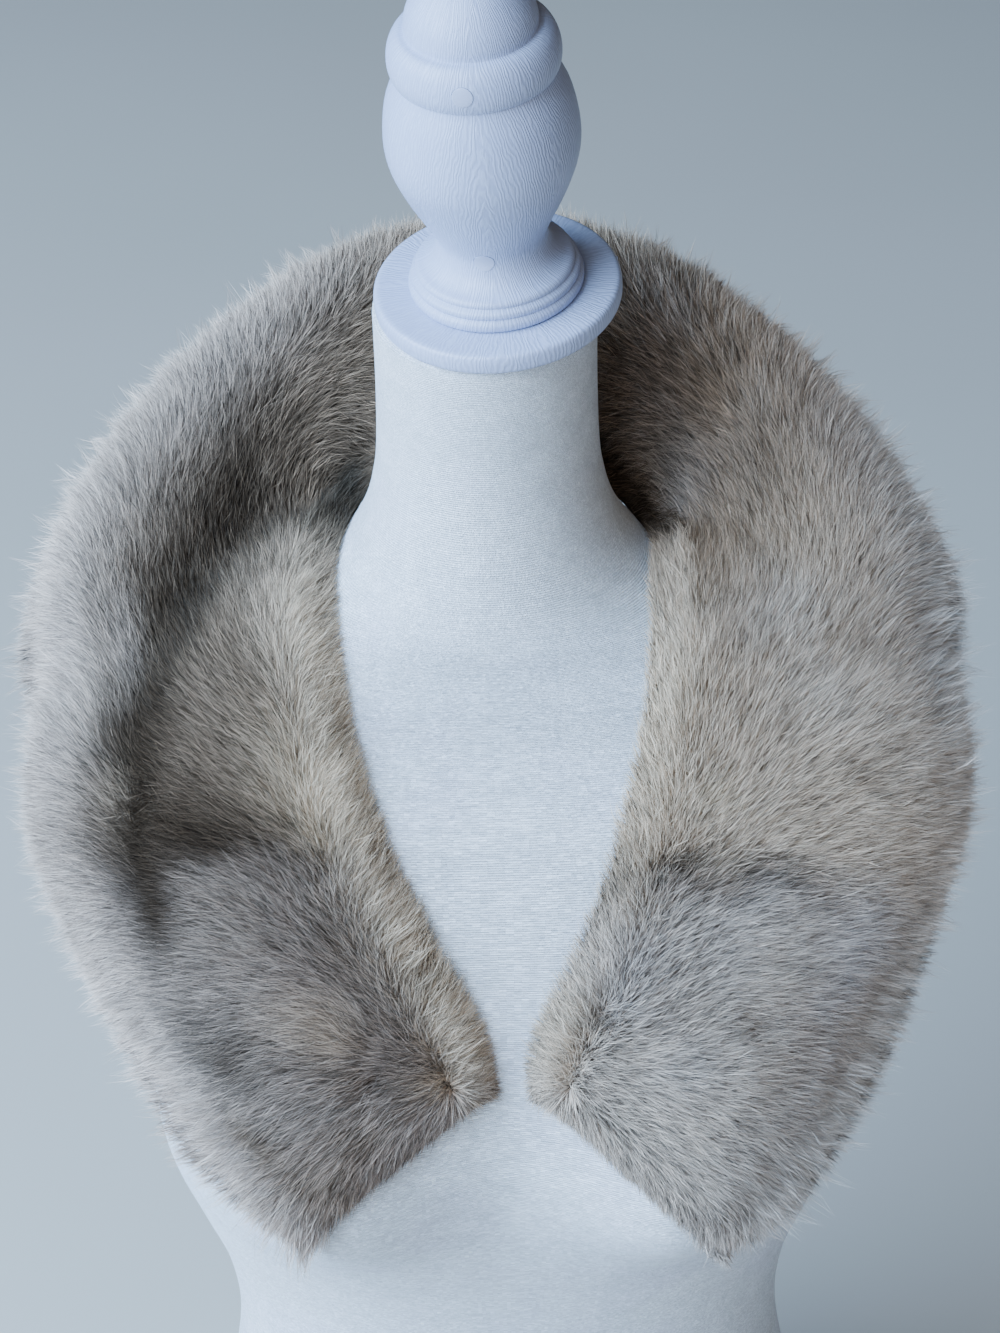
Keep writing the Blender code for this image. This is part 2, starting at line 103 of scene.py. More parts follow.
CAP_PROFILE = (  # radius, height along the leaned axis
    (0.0, -9.0),
    (44.0, -9.0),
    (47.2, -8.7),
    (48.7, -7.4),
    (49.0, -5.2),
    (49.0, -3.2),
    (48.5, -1.1),
    (47.1, -0.1),
    (44.0, 0.0),
    (0.0, 0.0),
)
FINIAL_PROFILE = (
    (0.0, 0.3),
    (33.6, 0.3),
    (34.4, 1.2),
    (34.5, 3.4),
    (33.4, 4.9),
    (32.8, 5.3),
    (33.2, 6.3),
    (33.0, 7.9),
    (31.6, 9.0),
    (31.1, 9.4),
    (31.3, 10.6),
    (30.3, 12.0),
    (27.6, 13.2),
    (24.6, 15.6),
    (22.5, 19.0),
    (21.6, 23.0),
    (22.3, 27.0),
    (25.0, 33.0),
    (29.0, 41.0),
    (33.2, 50.5),
    (36.4, 60.0),
    (37.6, 69.0),
    (36.9, 79.0),
    (34.9, 88.5),
    (30.8, 98.4),
    (31.5, 99.4),
    (32.5, 102.0),
    (32.9, 105.8),
    (32.3, 110.4),
    (30.4, 114.6),
    (27.8, 117.0),
    (25.4, 117.6),
    (25.2, 120.5),
    (24.2, 125.0),
    (21.8, 130.0),
    (18.2, 135.0),
    (13.2, 139.5),
    (7.0, 142.6),
    (0.0, 143.8),
)
PLUGS = {  # height on the axis, radius there, turn about the axis
    "finial_plug_lower": (25.0, 21.9, -9.0),
    "finial_plug_upper": (107.5, 32.8, -8.5),
}
PLUG_RADIUS = 4.0
PLUG_PROUD = 0.22
BORE_ROOM = 0.14
LATHE_SIDES = 128
NUB = {"turn": 14, "at": (48.9, 0, -3.6), "size": (0.9, 1.1, 3.2)}
GRAIN_PITCH = 1.15
GRAIN_RADIUS = 30  # that the grain's map is drawn for, all the way up

# --------------------------------------------------------------- the collar
STATIONS = (
    # at, then points of the neck edge, the valley, the rim and the outer edge,
    # then how far the inner and the outer side swell between them
    (-12.0, (-4, -126, 437), (-46, -147, 414), (-80, -160, 389), (-86, -158, 381), 3, 2),
    (-11.0, (-9, -122, 462), (-76, -134, 430), (-119, -141, 414), (-127, -135, 406), 4, 3),
    (-10.0, (-22, -115, 491), (-103, -112, 455), (-151, -99, 438), (-159, -88, 429), 5, 5),
    (-9.0, (-38, -103, 522), (-126, -88, 500), (-173, -64, 467), (-181, -52, 453), 6, 8),
    (-8.0, (-51, -87, 553), (-142, -65, 548), (-181, -46, 513), (-191, -38, 497), 6, 14),
    (-7.0, (-60, -69, 579), (-141, -45, 577), (-186, -23, 555), (-195, -16, 539), 6, 16),
    (-6.0, (-65, -49, 600), (-133, -20, 592), (-193, 9, 581), (-200, 13, 561), 6, 16),
    (-5.0, (-68, -28, 613), (-122, 4, 604), (-187, 43, 610), (-195, 49, 583), 5, 15),
    (-4.0, (-69, -6, 620), (-107, 28, 613), (-162, 71, 643), (-172, 79, 616), 3, 12),
    (-3.0, (-67, 15, 627), (-86, 42, 627), (-128, 92, 677), (-138, 102, 649), 2, 9),
    (-2.0, (-58, 37, 637), (-67, 52, 642), (-88, 110, 703), (-95, 122, 675), 1, 7),
    (-1.0, (-38, 55, 646), (-44, 67, 658), (-48, 121, 718), (-53, 136, 690), 1, 6),
    (0.0, (0, 66, 650), (2, 78, 664), (5, 127, 723), (6, 143, 695), 1, 6),
    (1.0, (39, 55, 642), (46, 66, 657), (58, 122, 716), (63, 136, 688), 1, 6),
    (2.0, (61, 36, 626), (69, 52, 643), (93, 108, 703), (101, 120, 675), 2, 7),
    (3.0, (69, 14, 617), (88, 40, 630), (134, 92, 673), (144, 102, 645), 3, 8),
    (4.0, (69, -6, 620), (108, 24, 622), (165, 71, 641), (175, 78, 613), 5, 10),
    (5.0, (68, -28, 613), (121, 2, 614), (190, 43, 605), (199, 48, 577), 7, 12),
    (6.0, (66, -49, 600), (128, -24, 600), (193, 8, 572), (201, 12, 550), 8, 12),
    (7.0, (61, -69, 579), (130, -50, 578), (189, -25, 540), (198, -18, 521), 8, 12),
    (8.0, (54, -88, 554), (125, -74, 546), (185, -48, 495), (194, -41, 477), 8, 11),
    (9.0, (42, -104, 519), (111, -96, 502), (169, -70, 438), (176, -61, 423), 7, 9),
    (10.0, (28, -115, 487), (91, -116, 460), (146, -104, 407), (154, -96, 397), 6, 7),
    (11.0, (15, -122, 459), (70, -136, 432), (118, -138, 387), (124, -135, 380), 4, 5),
    (12.0, (12, -127, 437), (50, -150, 410), (86, -160, 377), (91, -159, 371), 3, 3),
)
PELTS = {  # CAD node: its first and last place along the collar
    "collar_front_l": (-12.0, -8.1),
    "collar_shoulder_l": (-8.1, -3.6),
    "collar_back": (-3.6, 3.6),
    "collar_shoulder_r": (3.6, 8.0),
    "collar_front_r": (8.0, 12.0),
}
PELT_THICK = 17.0
EDGE_ROUND = 15.0
END_ROUND = 16.0
SEAM_HALF_GAP = 0.16
SEAM_DIP = 1.6
SEAM_REACH = 0.12
ALONG_STEP = 11.0
ACROSS = 17
ACROSS_STEP = 10
CLEAR = 0.55  # the least gap between leather and form
SNUG = 0.05  # and the one at the neck edge, behind the neck
HUG = (3.3, 0.18)  # how far along and across the neck edge is held to the form
SECTION_POINTS = 121
SECTION_RIM = 90  # the point of a section whose run sets the rows
NEAR = 6.0  # a gap up to which the leather is drawn down to the form
EASE_ROUNDS = 6
REST_ROUNDS = 7
LOOSE_ROUNDS = 3  # rounds in which leather further off keeps its height
RELIEF = (  # at, across, their reaches, rise
    (-7.9, 0.45, 0.35, 0.40, -3.0),
    (-9.6, 0.42, 0.8, 0.22, 3.0),
    (-10.6, 0.70, 0.5, 0.16, -2.5),
    (-11.2, 0.22, 0.4, 0.14, 2.0),
    (-6.4, 0.30, 0.9, 0.18, 2.5),
    (-5.0, 0.78, 1.4, 0.16, 1.5),
    (-2.4, 0.62, 1.0, 0.24, -2.0),
    (1.9, 0.55, 0.9, 0.26, -2.5),
    (3.2, 0.42, 0.5, 0.16, 3.0),
    (4.4, 0.40, 0.4, 0.22, -2.5),
    (5.8, 0.52, 1.0, 0.24, 2.5),
    (7.9, 0.30, 0.3, 0.16, -4.0),
    (8.1, 0.62, 0.35, 0.24, -2.5),
    (9.2, 0.60, 0.9, 0.24, 3.0),
    (9.7, 0.14, 0.35, 0.12, -3.0),
    (10.8, 0.55, 0.7, 0.22, 2.0),
)

# The lie of the nap, in degrees: 0 runs along the collar towards its +X tip,
# 90 runs outwards to the rim, and -90 runs in to the neck.
NAP_COLUMNS = (0.0, 0.2, 0.4, 0.6, 0.8, 1.0)
NAP = (
    # at   neck   in   mid  mid   out   rim
    (-12.0, -120, 122, 116, 107, 105, 100),
    (-11.2, -90, 60, 90, 100, 98, 92),
    (-10.0, -50, 17, 63, 84, 94, 90),
    (-9.0, -50, 22, 48, 52, 77, 80),
    (-8.0, -42, 48, 60, 30, 55, 68),
    (-7.0, -38, 60, 50, 22, 50, 62),
    (-6.0, -50, 38, 42, 25, 62, 67),
    (-5.0, -40, 35, 38, 33, 62, 70),
    (-4.0, -10, 42, 35, 38, 60, 68),
    (-3.0, 10, 28, 28, 48, 63, 68),
    (-2.0, -20, -25, 18, 58, 69, 72),
    (-1.0, -40, -35, -5, 68, 76, 78),
    (0.0, -90, -80, 85, 88, 90, 90),
    (1.0, -130, -165, 160, 122, 107, 103),
    (2.0, -135, -162, 166, 132, 115, 110),
    (3.0, 175, 178, 169, 139, 120, 115),
    (4.0, 165, 154, 163, 148, 128, 124),
    (5.0, 170, 153, 159, 150, 122, 124),
    (6.0, 175, 156, 155, 144, 119, 128),
    (7.0, 180, 145, 141, 131, 120, 126),
    (8.0, 195, 143, 132, 126, 118, 122),
    (9.0, 200, 151, 140, 124, 111, 108),
    (10.0, -138, 154, 131, 116, 103, 95),
    (11.0, -95, 116, 102, 90, 85, 88),
    (12.0, -20, 62, 72, 68, 68, 70),
)

# Colours of the fur's tips, linear.
FUR_TIP = {
    # Painted light: a near-white that stands for rim hair lit through from behind.
    "frost_painted_light": (0.80, 0.775, 0.755),
    "ivory": (0.79, 0.665, 0.55),
    "silver": (0.61, 0.507, 0.444),
    "mist": (0.565, 0.503, 0.470),
    "cream": (0.775, 0.61, 0.44),
    "beige": (0.59, 0.455, 0.338),
    "pearl": (0.485, 0.396, 0.325),
    "slate": (0.300, 0.239, 0.200),
    "fawn": (0.180, 0.131, 0.094),
    "taupe": (0.152, 0.106, 0.073),
    # Painted shade: a deep brown for creases, dips and the nook, and a near-black for shadow in
    # the gaps beside the neck.
    "umber_painted_shade": (0.037, 0.025, 0.0165),
    "black_painted_shadow": (0.0085, 0.0065, 0.005),
}
SPANS = (  # the pelts' own furs, each from its place onwards
    (-12.0, "slate"),
    (-8.3, "fawn"),
    (-3.0, "taupe"),
    (-0.3, "fawn"),
    (2.2, "beige"),
    (8.45, "slate"),
    (8.72, "pearl"),
)
SPAN_BLEND = 0.18
DABS = (
    # at, across, reach along, reach across, fur, strength
    (-9.8, 1.00, 2.4, 0.21, "silver", 1.0),
    (-11.2, 1.00, 0.8, 0.22, "silver", 1.0),
    (-5.5, 0.90, 2.6, 0.19, "silver", 1.0),
    (-2.4, 0.86, 1.6, 0.24, "silver", 0.75),
    (0.5, 0.92, 2.5, 0.20, "beige", 0.6),
    # Painted light: the +X rim's outer band is paled, as if lit through from behind.
    (5.4, 0.94, 2.2, 0.24, "frost_painted_light", 0.75),
    (9.8, 0.94, 2.0, 0.24, "frost_painted_light", 0.65),
    (5.6, 1.02, 2.6, 0.12, "frost_painted_light", 1.0),
    (9.6, 1.02, 1.9, 0.12, "frost_painted_light", 1.0),
    # Painted shade and shadow in the nook at the -X side of the neck edge.
    (-2.4, 0.06, 0.8, 0.13, "umber_painted_shade", 1.0),
    (-2.3, 0.04, 0.8, 0.09, "black_painted_shadow", 1.0),
    # Painted shade down the valley crease and in the dip beside it, near-black at its deepest.
    (-5.0, 0.41, 0.8, 0.05, "black_painted_shadow", 0.7),
    (-3.6, 0.42, 0.9, 0.15, "umber_painted_shade", 0.9),
    (-5.2, 0.46, 1.1, 0.14, "umber_painted_shade", 0.95),
    (-6.8, 0.57, 1.0, 0.12, "umber_painted_shade", 0.8),
    (-8.7, 0.61, 0.7, 0.09, "umber_painted_shade", 0.42),
    (-8.1, 0.42, 0.35, 0.17, "umber_painted_shade", 0.9),
    (-7.8, 0.60, 0.25, 0.05, "beige", 0.8),
    (-5.9, 0.62, 0.5, 0.05, "slate", 0.7),
    # Painted shade in two dips of the relief.
    (-10.1, 0.66, 0.55, 0.13, "umber_painted_shade", 0.8),
    (-7.9, 0.38, 0.30, 0.10, "umber_painted_shade", 0.35),
    (-5.5, 0.22, 0.7, 0.12, "taupe", 0.5),
    (-11.0, 0.78, 0.35, 0.10, "taupe", 0.9),
    (-11.6, 0.74, 0.45, 0.20, "taupe", 0.8),
    (-11.2, 0.50, 0.40, 0.14, "fawn", 0.6),
    (-8.9, 0.42, 0.35, 0.12, "pearl", 0.4),
    (-9.9, 0.36, 0.35, 0.12, "beige", 0.6),
    (-10.5, 0.40, 0.25, 0.07, "taupe", 0.5),
    (-9.2, 0.20, 0.5, 0.06, "fawn", 0.4),
    (-11.0, 0.16, 0.30, 0.10, "beige", 0.7),
    (-6.0, 0.24, 0.5, 0.10, "taupe", 0.3),
    (-5.4, 0.12, 0.9, 0.08, "beige", 0.4),
    (-6.9, 0.16, 0.3, 0.07, "taupe", 0.4),
    (-9.6, 0.02, 2.2, 0.09, "cream", 0.75),
    (-5.4, 0.02, 1.8, 0.09, "cream", 0.6),
    (-7.5, 0.09, 0.6, 0.12, "cream", 1.0),
    # Painted shadow: near-black in the gap beside the neck's +X side.
    (0.8, 0.00, 1.1, 0.12, "black_painted_shadow", 1.0),
    (1.9, 0.60, 0.8, 0.14, "slate", 0.7),
    (1.8, 0.38, 0.5, 0.14, "slate", 0.8),
    # Painted light: the +X inner wall beside the neck is paled where the neck's shadow falls.
    (3.0, 0.50, 0.7, 0.20, "ivory", 1.0),
    (2.5, 0.22, 0.5, 0.15, "frost_painted_light", 0.9),
    (3.9, 0.70, 0.8, 0.10, "slate", 0.5),
    (3.5, 0.47, 0.2, 0.05, "taupe", 0.6),
    (3.6, 0.17, 0.3, 0.06, "taupe", 0.6),
    (5.0, 0.12, 0.5, 0.09, "fawn", 0.5),
    (5.75, 0.26, 0.3, 0.06, "fawn", 0.5),
    (5.5, 0.36, 0.6, 0.15, "ivory", 1.0),
    (6.1, 0.58, 0.25, 0.05, "fawn", 0.6),
    (6.7, 0.46, 0.6, 0.16, "ivory", 0.6),
    (6.3, 0.70, 0.6, 0.08, "ivory", 0.7),
    (7.5, 0.56, 0.25, 0.08, "fawn", 0.6),
    (7.8, 0.18, 0.3, 0.06, "cream", 0.8),
    (7.0, 0.02, 1.9, 0.08, "cream", 0.8),
    (8.55, 0.16, 0.20, 0.09, "taupe", 0.85),
    (8.45, 0.32, 0.14, 0.12, "taupe", 0.75),
    (8.4, 0.50, 0.20, 0.06, "taupe", 0.5),
    (9.0, 0.30, 0.5, 0.12, "mist", 0.35),
    (8.9, 0.66, 0.5, 0.14, "mist", 1.0),
    (9.7, 0.62, 0.35, 0.09, "slate", 0.7),
    (10.6, 0.02, 1.2, 0.08, "cream", 0.5),
    (10.0, 0.26, 0.3, 0.08, "slate", 0.6),
    (10.4, 0.40, 0.5, 0.10, "mist", 0.3),
    (9.6, 0.10, 0.5, 0.10, "mist", 0.6),
    (9.8, 0.78, 0.3, 0.08, "mist", 0.9),
    (12.0, 0.85, 0.5, 0.50, "slate", 0.6),
)
FOLDS = {  # places along the crease: at, across
    "valley": ((-9.3, 0.62), (-8.5, 0.58), (-7.5, 0.56), (-6.8, 0.52), (-5.9, 0.46),
               (-5.0, 0.40), (-4.0, 0.34), (-3.2, 0.24), (-2.5, 0.08), (-2.0, -0.04)),
    "tuck": ((1.7, -0.08), (2.1, 0.00), (2.8, 0.05), (3.7, 0.16)),
}
FOLD_FORM = {  # half width across, depth in mm, how strong the painted crease shade is
    "valley": (0.075, 3.5, 0.95),
    "tuck": (0.05, 3.5, 0.95),
}
DENTS = (
    # at, across, reach along, reach across, depth in mm, how strong the painted shade is, ruffle
    (8.60, 0.10, 0.10, 0.05, 3.5, 0.6, 20),
    (8.40, 0.19, 0.10, 0.08, 2.5, 0.5, 8),
    (8.50, 0.36, 0.12, 0.14, 2.0, 0.4, 5),
    (10.30, 0.11, 0.16, 0.04, 2.5, 0.4, 30),
    (9.85, 0.44, 0.12, 0.05, 2.5, 0.4, 15),
    (2.45, 0.22, 0.25, 0.08, 3.0, 0.5, 10),
    (-10.85, 0.31, 0.12, 0.05, 3.0, 0.5, 20),
    (-10.90, 0.75, 0.14, 0.07, 3.0, 0.6, 10),
    (-9.80, 0.04, 0.25, 0.04, 2.0, 0.4, 10),
    (-7.95, 0.53, 0.30, 0.07, 1.0, 0.1, 60),
    (-8.35, 0.20, 0.08, 0.08, 1.5, 0.4, 5),
)

COAT = {
    # layer: share of the triangles, bends, length, half width, rise at the root
    # and at the tip, how far the lie strays, lightness at the root and the tip
    "down": (0.12, 0, 10.0, 0.45, (38, 38), 14, (0.38, 0.56)),
    "pile": (0.25, 0, 11.5, 0.14, (35, 35), 12, (0.33, 0.82)),
    "guard": (0.63, 1, 13.5, 0.078, (46, 21), 12, (0.42, 2.25)),
}
HAIRS = 155_000  # triangles of the coat on each pelt
SIDE_TURN = 2.5  # how quickly the hair's ways change behind the neck
LOCKS = {  # what: on the -X side, on the +X side
    "spread": (3.0, 0.45),  # mm about which the roots of a lock stand
    "own stray": (1.0, 0.65),
    "lock stray": (0.0, 0.8),
    "own glow": (0.42, 0.546),
    "lock glow": (0.0, 0.42),
    "dimming": (0.0, 0.14),
    "least light": (0.0, 0.62),
}
LENGTHS = {"stray": 0.13, "thin": 0.4, "rim": 0.12, "dent": 0.06, "nook": 0.6}
STANDS = {"stray": 6, "parting": 14, "rim": 26, "ruffle": 0.25}  # degrees
PARTS_UNDER = 1.15  # how well the nap's ways agree where hair lies flat
PARTING_STRAY = 35
PARTING_LIGHT = 0.7
WIDTH_STRAY = 0.25
BEND_AT = 0.42  # where a guard hair bends, on its way from root to tip
RIM_FROM = 0.78
UNEVEN = {
    # what: strength, size in mm and seed of each layer of its soft spots
    "colour": ((0.3, 22.0, 5),),
    "turn": ((14, 26.0, 11), (5, 10.0, 12), (2, 4.0, 13)),
    "length": ((0.12, 12.0, 14),),
    "stand": ((5, 7.0, 15),),
    "light": ((0.12, 17.0, 18), (0.07, 6.0, 16), (0.03, 2.2, 17)),
}
TUFTS = {
    # strip: across from and to, rows from the tip, tufts to a metre of edge,
    # length, rise from and to
    "rim": (0.78, 1.00, None, 1500, 17.0, (22, 66)),
    "hem": (0.95, 1.00, None, 1300, 12.0, (-12, 22)),
    "neck": (0.00, 0.06, None, 1000, 11.0, (8, 45)),
    "tip": (0.00, 1.00, 2.5, 1600, 10.5, (6, 30)),
}
TUFT_HAIRS = 8
LOCK_HAIRS = 2
TUFT = {
    "turn": 13.0,  # degrees by which a tuft strays from the nap
    "run": 0.18,  # unevenness of the tufts' lengths
    "nook": 0.7,  # how much shorter they are in the nook
    "sink": 0.55,  # share of the pile above a tuft's roots
    "roots": 2.3,  # mm about which the roots and tips of one tuft stand
    "tips": 1.0,
    "short": 0.35,  # how much shorter its shortest hairs are
    "arch": 0.06,  # how high a hair bows, for its length, and by how much not
    "bow": 0.3,
    "half": 0.085,  # half a hair's width in mm, and its unevenness
    "half stray": 0.2,
    "tuft light": 0.15,
    "hair light": 0.25,
}
TUFT_SHADES = (0.6, 1.0, 1.5)  # at the root, the middle and the tip
# Painted shade: the tufts at the tips are made duller, as they stick out into the light.
TIP_TUFT_SHADE = 0.78
INWARD = (2.4, 0.75, -115.0)  # where hair turns in to the neck: at, reach, way
NOOK = (1.7, 0.75, 0.14)  # where hair is pressed short: at, reaches along, across
SHORT_TUFTS = ((0.0, 2.5, 4, 0.15), (12.0, 0.7, 2, 0.6))  # at, reach, power, share

PILE = 9.0  # depth of hair above its roots, where the pelt is full
SINK = 1.8  # how far the down lies below the roots
HANG = 8.0  # how far a hair's shown part lies from its root
LEAST_LEATHER = 1.2
UNDERFUR = 0.5  # how light the down under the hair is beside the hair's tips
LIGHTEST, DARKEST = 0.9, 0.008  # of all hair

LIGHTS = {  # place, target and size in metres, power in watts, colour
    "window": ((-2.02, -0.95, 1.97), (0, 0, 0.55), (2.8, 2.4), 422, (0.475, 0.70, 1.0)),
    "front": ((-0.9, -2.4, 2.0), (0, 0, 0.6), (1.6, 1.6), 33, (0.86, 0.92, 1.0)),
    "room": ((2.4, -1.9, 1.4), (0, 0, 0.5), (2.0, 2.0), 12, (1.0, 0.82, 0.66)),
}
GLOW_COLOUR, GLOW = (1.0, 0.94, 0.86, 1), 0.08
FLOOR_SIZE = 80
CAMERA_AT = (0.0029, -1.184, 1.380)
CAMERA_PITCH, CAMERA_ROLL = 34.5, 1.26
CAMERA_SENSOR = 36
CAMERA_LENS = 3400 / 1333 * CAMERA_SENSOR


def pick(*pieces):
    """Only these pieces are selected, and the first is the active one."""
    for obj in bpy.context.view_layer.objects:
        obj.select_set(obj in pieces)
    if pieces:
        bpy.context.view_layer.objects.active = pieces[0]


def finished(obj, kind, **settings):
    """A modifier set and applied to the active piece."""
    change = obj.modifiers.new(kind.lower(), kind)
    for key, value in settings.items():
        setattr(change, key, value)
    bpy.ops.object.modifier_apply(modifier=change.name)


def through(table, t):
    """A smooth curve through the rows of a table, at the row numbers t."""
    rows = np.asarray(table, float)
    t = np.clip(np.asarray(t, float), 0, len(rows) - 1 - 1e-9)
    i = t.astype(int)
    f = (t - i).reshape(t.shape + (1,) * (rows.ndim - 1))

    def row(k):
        return rows[np.clip(k, 0, len(rows) - 1)]

    a, b, c, d = row(i - 1), row(i), row(i + 1), row(i + 2)
    return 0.5 * (
        2 * b
        + (c - a) * f
        + (2 * a - 5 * b + 4 * c - d) * f**2
        + (3 * b - a - 3 * c + d) * f**3
    )


def unit(v):
    return v / np.maximum(np.linalg.norm(v, axis=-1, keepdims=True), 1e-12)


def run_along(points):
    """The length from the start of a line to each of its points."""
    steps = np.linalg.norm(np.diff(points, axis=0), axis=1)
    return np.concatenate([[0], np.cumsum(steps)])


def spot(at, across, middle_at, middle_across, along, wide):
    """1 at a spot on the collar, fading out round it."""
    return np.exp(-(((at - middle_at) / along) ** 2) - ((across - middle_across) / wide) ** 2)


def hashed(cell, seed):
    """A number from 0 to 1 for each cell of a grid, always the same."""
    h = (
        cell[..., 0] * 374761393
        + cell[..., 1] * 668265263
        + cell[..., 2] * 1274126177
        + seed * 974634777
    ) & 0xFFFFFFFF
    h = ((h ^ (h >> 13)) * 1103515245) & 0xFFFFFFFF
    return ((h ^ (h >> 16)) & 0xFFFFFF) / float(0xFFFFFF)


def mottle(points, size, seed):
    """Soft random spots of about that size, from -1 to 1."""
    p = points / size
    base = np.floor(p).astype(np.int64)
    f = p - base
    f = f * f * (3 - 2 * f)
    total = np.zeros(len(points))
    for k in range(8):
        step = np.array([k & 1, (k >> 1) & 1, k >> 2])
        weight = np.prod(np.where(step, f, 1 - f), axis=1)
        total += weight * hashed(base + step, seed)
    return total * 2 - 1


def uneven(points, what):
    layers = UNEVEN[what]
    return sum(strength * mottle(points, size, seed) for strength, size, seed in layers)


# ---------------------------------------------------------------- materials
class Finish:
    """A material, with its nodes added one by one."""

    def __init__(self, name):
        self.material = bpy.data.materials.new(name)
        self.material.use_nodes = True
        self.tree = self.material.node_tree
        self.shader = self.tree.nodes["Principled BSDF"]

    def fill(self, socket, value):
        """Links a socket to another, or sets it to a number or colour."""
        if isinstance(value, bpy.types.NodeSocket):
            self.tree.links.new(value, socket)
        elif socket.type == "RGBA":
            socket.default_value = (*value, 1)
        else:
            socket.default_value = value

    def surface(self, **values):
        for key, value in values.items():
            self.fill(self.shader.inputs[key.replace("_", " ")], value)
        return self.material

    def node(self, kind, out, inputs, **options):
        """The named output of a new node with these inputs and options."""
        made = self.tree.nodes.new("ShaderNode" + kind)
        for key, value in options.items():
            setattr(made, key, value)
        for key, value in inputs.items():
            self.fill(made.inputs[key], value)
        return made.outputs[out]

    def place(self):
        return self.node("TexCoord", "Object", {})

    def map(self, name):
        return self.node("UVMap", "UV", {}, uv_map=name)

    def mapped(self, source, scale, place=(0, 0, 0)):
        inputs = {"Vector": source, "Scale": scale, "Location": place}
        return self.node("Mapping", "Vector", inputs)

    def noise(self, vector, scale, detail=3.0, roughness=0.5):
        inputs = {"Vector": vector, "Scale": scale, "Detail": detail, "Roughness": roughness}
        return self.node("TexNoise", "Fac", inputs)

    def ramp(self, factor, *stops):
        """Colours, or shades of grey, at places along a factor."""
        made = self.tree.nodes.new("ShaderNodeValToRGB")
        while len(made.color_ramp.elements) < len(stops):
            made.color_ramp.elements.new(0.5)
        for element, (place, shade) in zip(made.color_ramp.elements, stops):
            element.position = place
            element.color = (*shade, 1) if isinstance(shade, tuple) else (shade,) * 3 + (1,)
        self.fill(made.inputs["Fac"], factor)
        return made.outputs["Color"]

    def maths(self, operation, a, b=0.0):
        return self.node("Math", "Value", {0: a, 1: b}, operation=operation)

    def plus(self, a, b, times=1.0):
        return self.maths("ADD", a, self.maths("MULTIPLY", b, times))

    def mixed(self, factor, a, b, blend="MIX"):
        return self.node("Mix", 2, {0: factor, 6: a, 7: b}, data_type="RGBA", blend_type=blend)

    def times(self, a, b):
        return self.mixed(1.0, a, b, "MULTIPLY")

    def bump(self, height, distance, strength, **after):
        inputs = {"Strength": strength, "Distance": distance, "Height": height, **after}
        return self.node("Bump", "Normal", inputs)


def jersey_finish():
    """White fine knit: fine rows, a faint sparkle and a soft sheen."""
    f = Finish("white_jersey")
    place, knit = f.place(), f.map("knit")
    waves = {"Vector": f.mapped(knit, (0.12, 1, 0)), "Scale": 0.31}
    waves.update({"Distortion": 2.2, "Detail": 2.0})
    rows = f.node("TexWave", "Fac", waves, wave_type="BANDS", bands_direction="Y")
    grit = f.noise(f.mapped(knit, (0.75, 1.5, 0)), 0.85, 2.0, 0.7)
    stitch = f.node("VectorMath", "Vector", {0: knit, 1: (1.1, 0.5, 1)}, operation="SNAP")
    luck = f.node("TexWhiteNoise", "Value", {"Vector": stitch})
    cloth = f.plus(f.maths("MULTIPLY", rows, 0.5), grit, 0.8)
    cloudy = f.noise(place, 7.0, 3.0)
    blush = f.noise(place, 16.0, 2.0, 0.6)
    patchy = f.noise(place, 110.0, 2.0, 0.6)
    tint = f.mixed(
        f.ramp(blush, (0.50, 0.0), (0.70, 0.6)),
        f.ramp(cloudy, (0.35, (0.865, 0.925, 1.0)), (0.62, (0.90, 0.945, 1.0))),
        (0.83, 0.84, 0.96),
    )
    shade = f.ramp(cloth, (0.30, (0.79, 0.81, 0.84)), (0.68, 1.0))
    glint = f.ramp(luck, (0.0, 0.78), (0.70, 1.0), (1.0, 1.25))
    glint = f.times(glint, f.ramp(patchy, (0.35, 0.89), (0.65, 1.0)))
    return f.surface(
        Base_Color=f.times(f.times(tint, shade), glint),
        Roughness=f.ramp(luck, (0.0, 0.60), (0.75, 0.45), (1.0, 0.20)),
        Normal=f.bump(f.plus(cloth, luck, 0.4), 0.0007, 1.0),
        Sheen_Weight=0.2,
        Sheen_Roughness=0.35,
        Sheen_Tint=(0.85, 0.92, 1.0),
        Specular_IOR_Level=0.7,
    )


def plastic_finish(name, middle, slant):
    """Moulded white plastic with a fine raised wood grain along its own map.

    The grain's lines run up the map and meet in pointed arches at its middle.
    """
    f = Finish(name)
    grain_map = f.map("grain")
    x, y = (f.node("SeparateXYZ", way, {"Vector": grain_map}) for way in "XY")
    sway = f.noise(f.mapped(grain_map, (1.0, 0.22, 1)), 0.10, 2.0, 0.6)
    waver = f.noise(f.mapped(grain_map, (1.0, 0.30, 1), (40, 0, 0)), 0.42, 2.0, 0.6)
    breaks = f.noise(f.mapped(grain_map, (1.0, 0.16, 1), (0, 70, 0)), 0.55, 2.0, 0.6)
    beside = f.maths("SUBTRACT", x, middle)
    reach = f.maths("SQRT", f.maths("ADD", f.maths("MULTIPLY", beside, beside), 3.0))
    run = reach
    for part, weight in ((y, slant), (sway, 7.0), (waver, 2.6)):
        run = f.plus(run, part, weight)
    lines = f.maths("SINE", f.maths("MULTIPLY", run, 2 * math.pi / GRAIN_PITCH))
    half = f.maths("ADD", f.maths("MULTIPLY", lines, 0.5), 0.5)
    grain = f.maths("MULTIPLY", half, breaks)
    return f.surface(
        # The grain's colours are a cool blue: the window's blue light on the white plastic is
        # partly painted into them.
        Base_Color=f.ramp(grain, (0.0, (0.350, 0.408, 0.60)), (0.5, (0.403, 0.472, 0.67))),
        Roughness=f.ramp(sway, (0.3, 0.32), (0.7, 0.44)),
        Normal=f.bump(grain, 0.0003, 0.6),
        Specular_IOR_Level=0.5,
    )


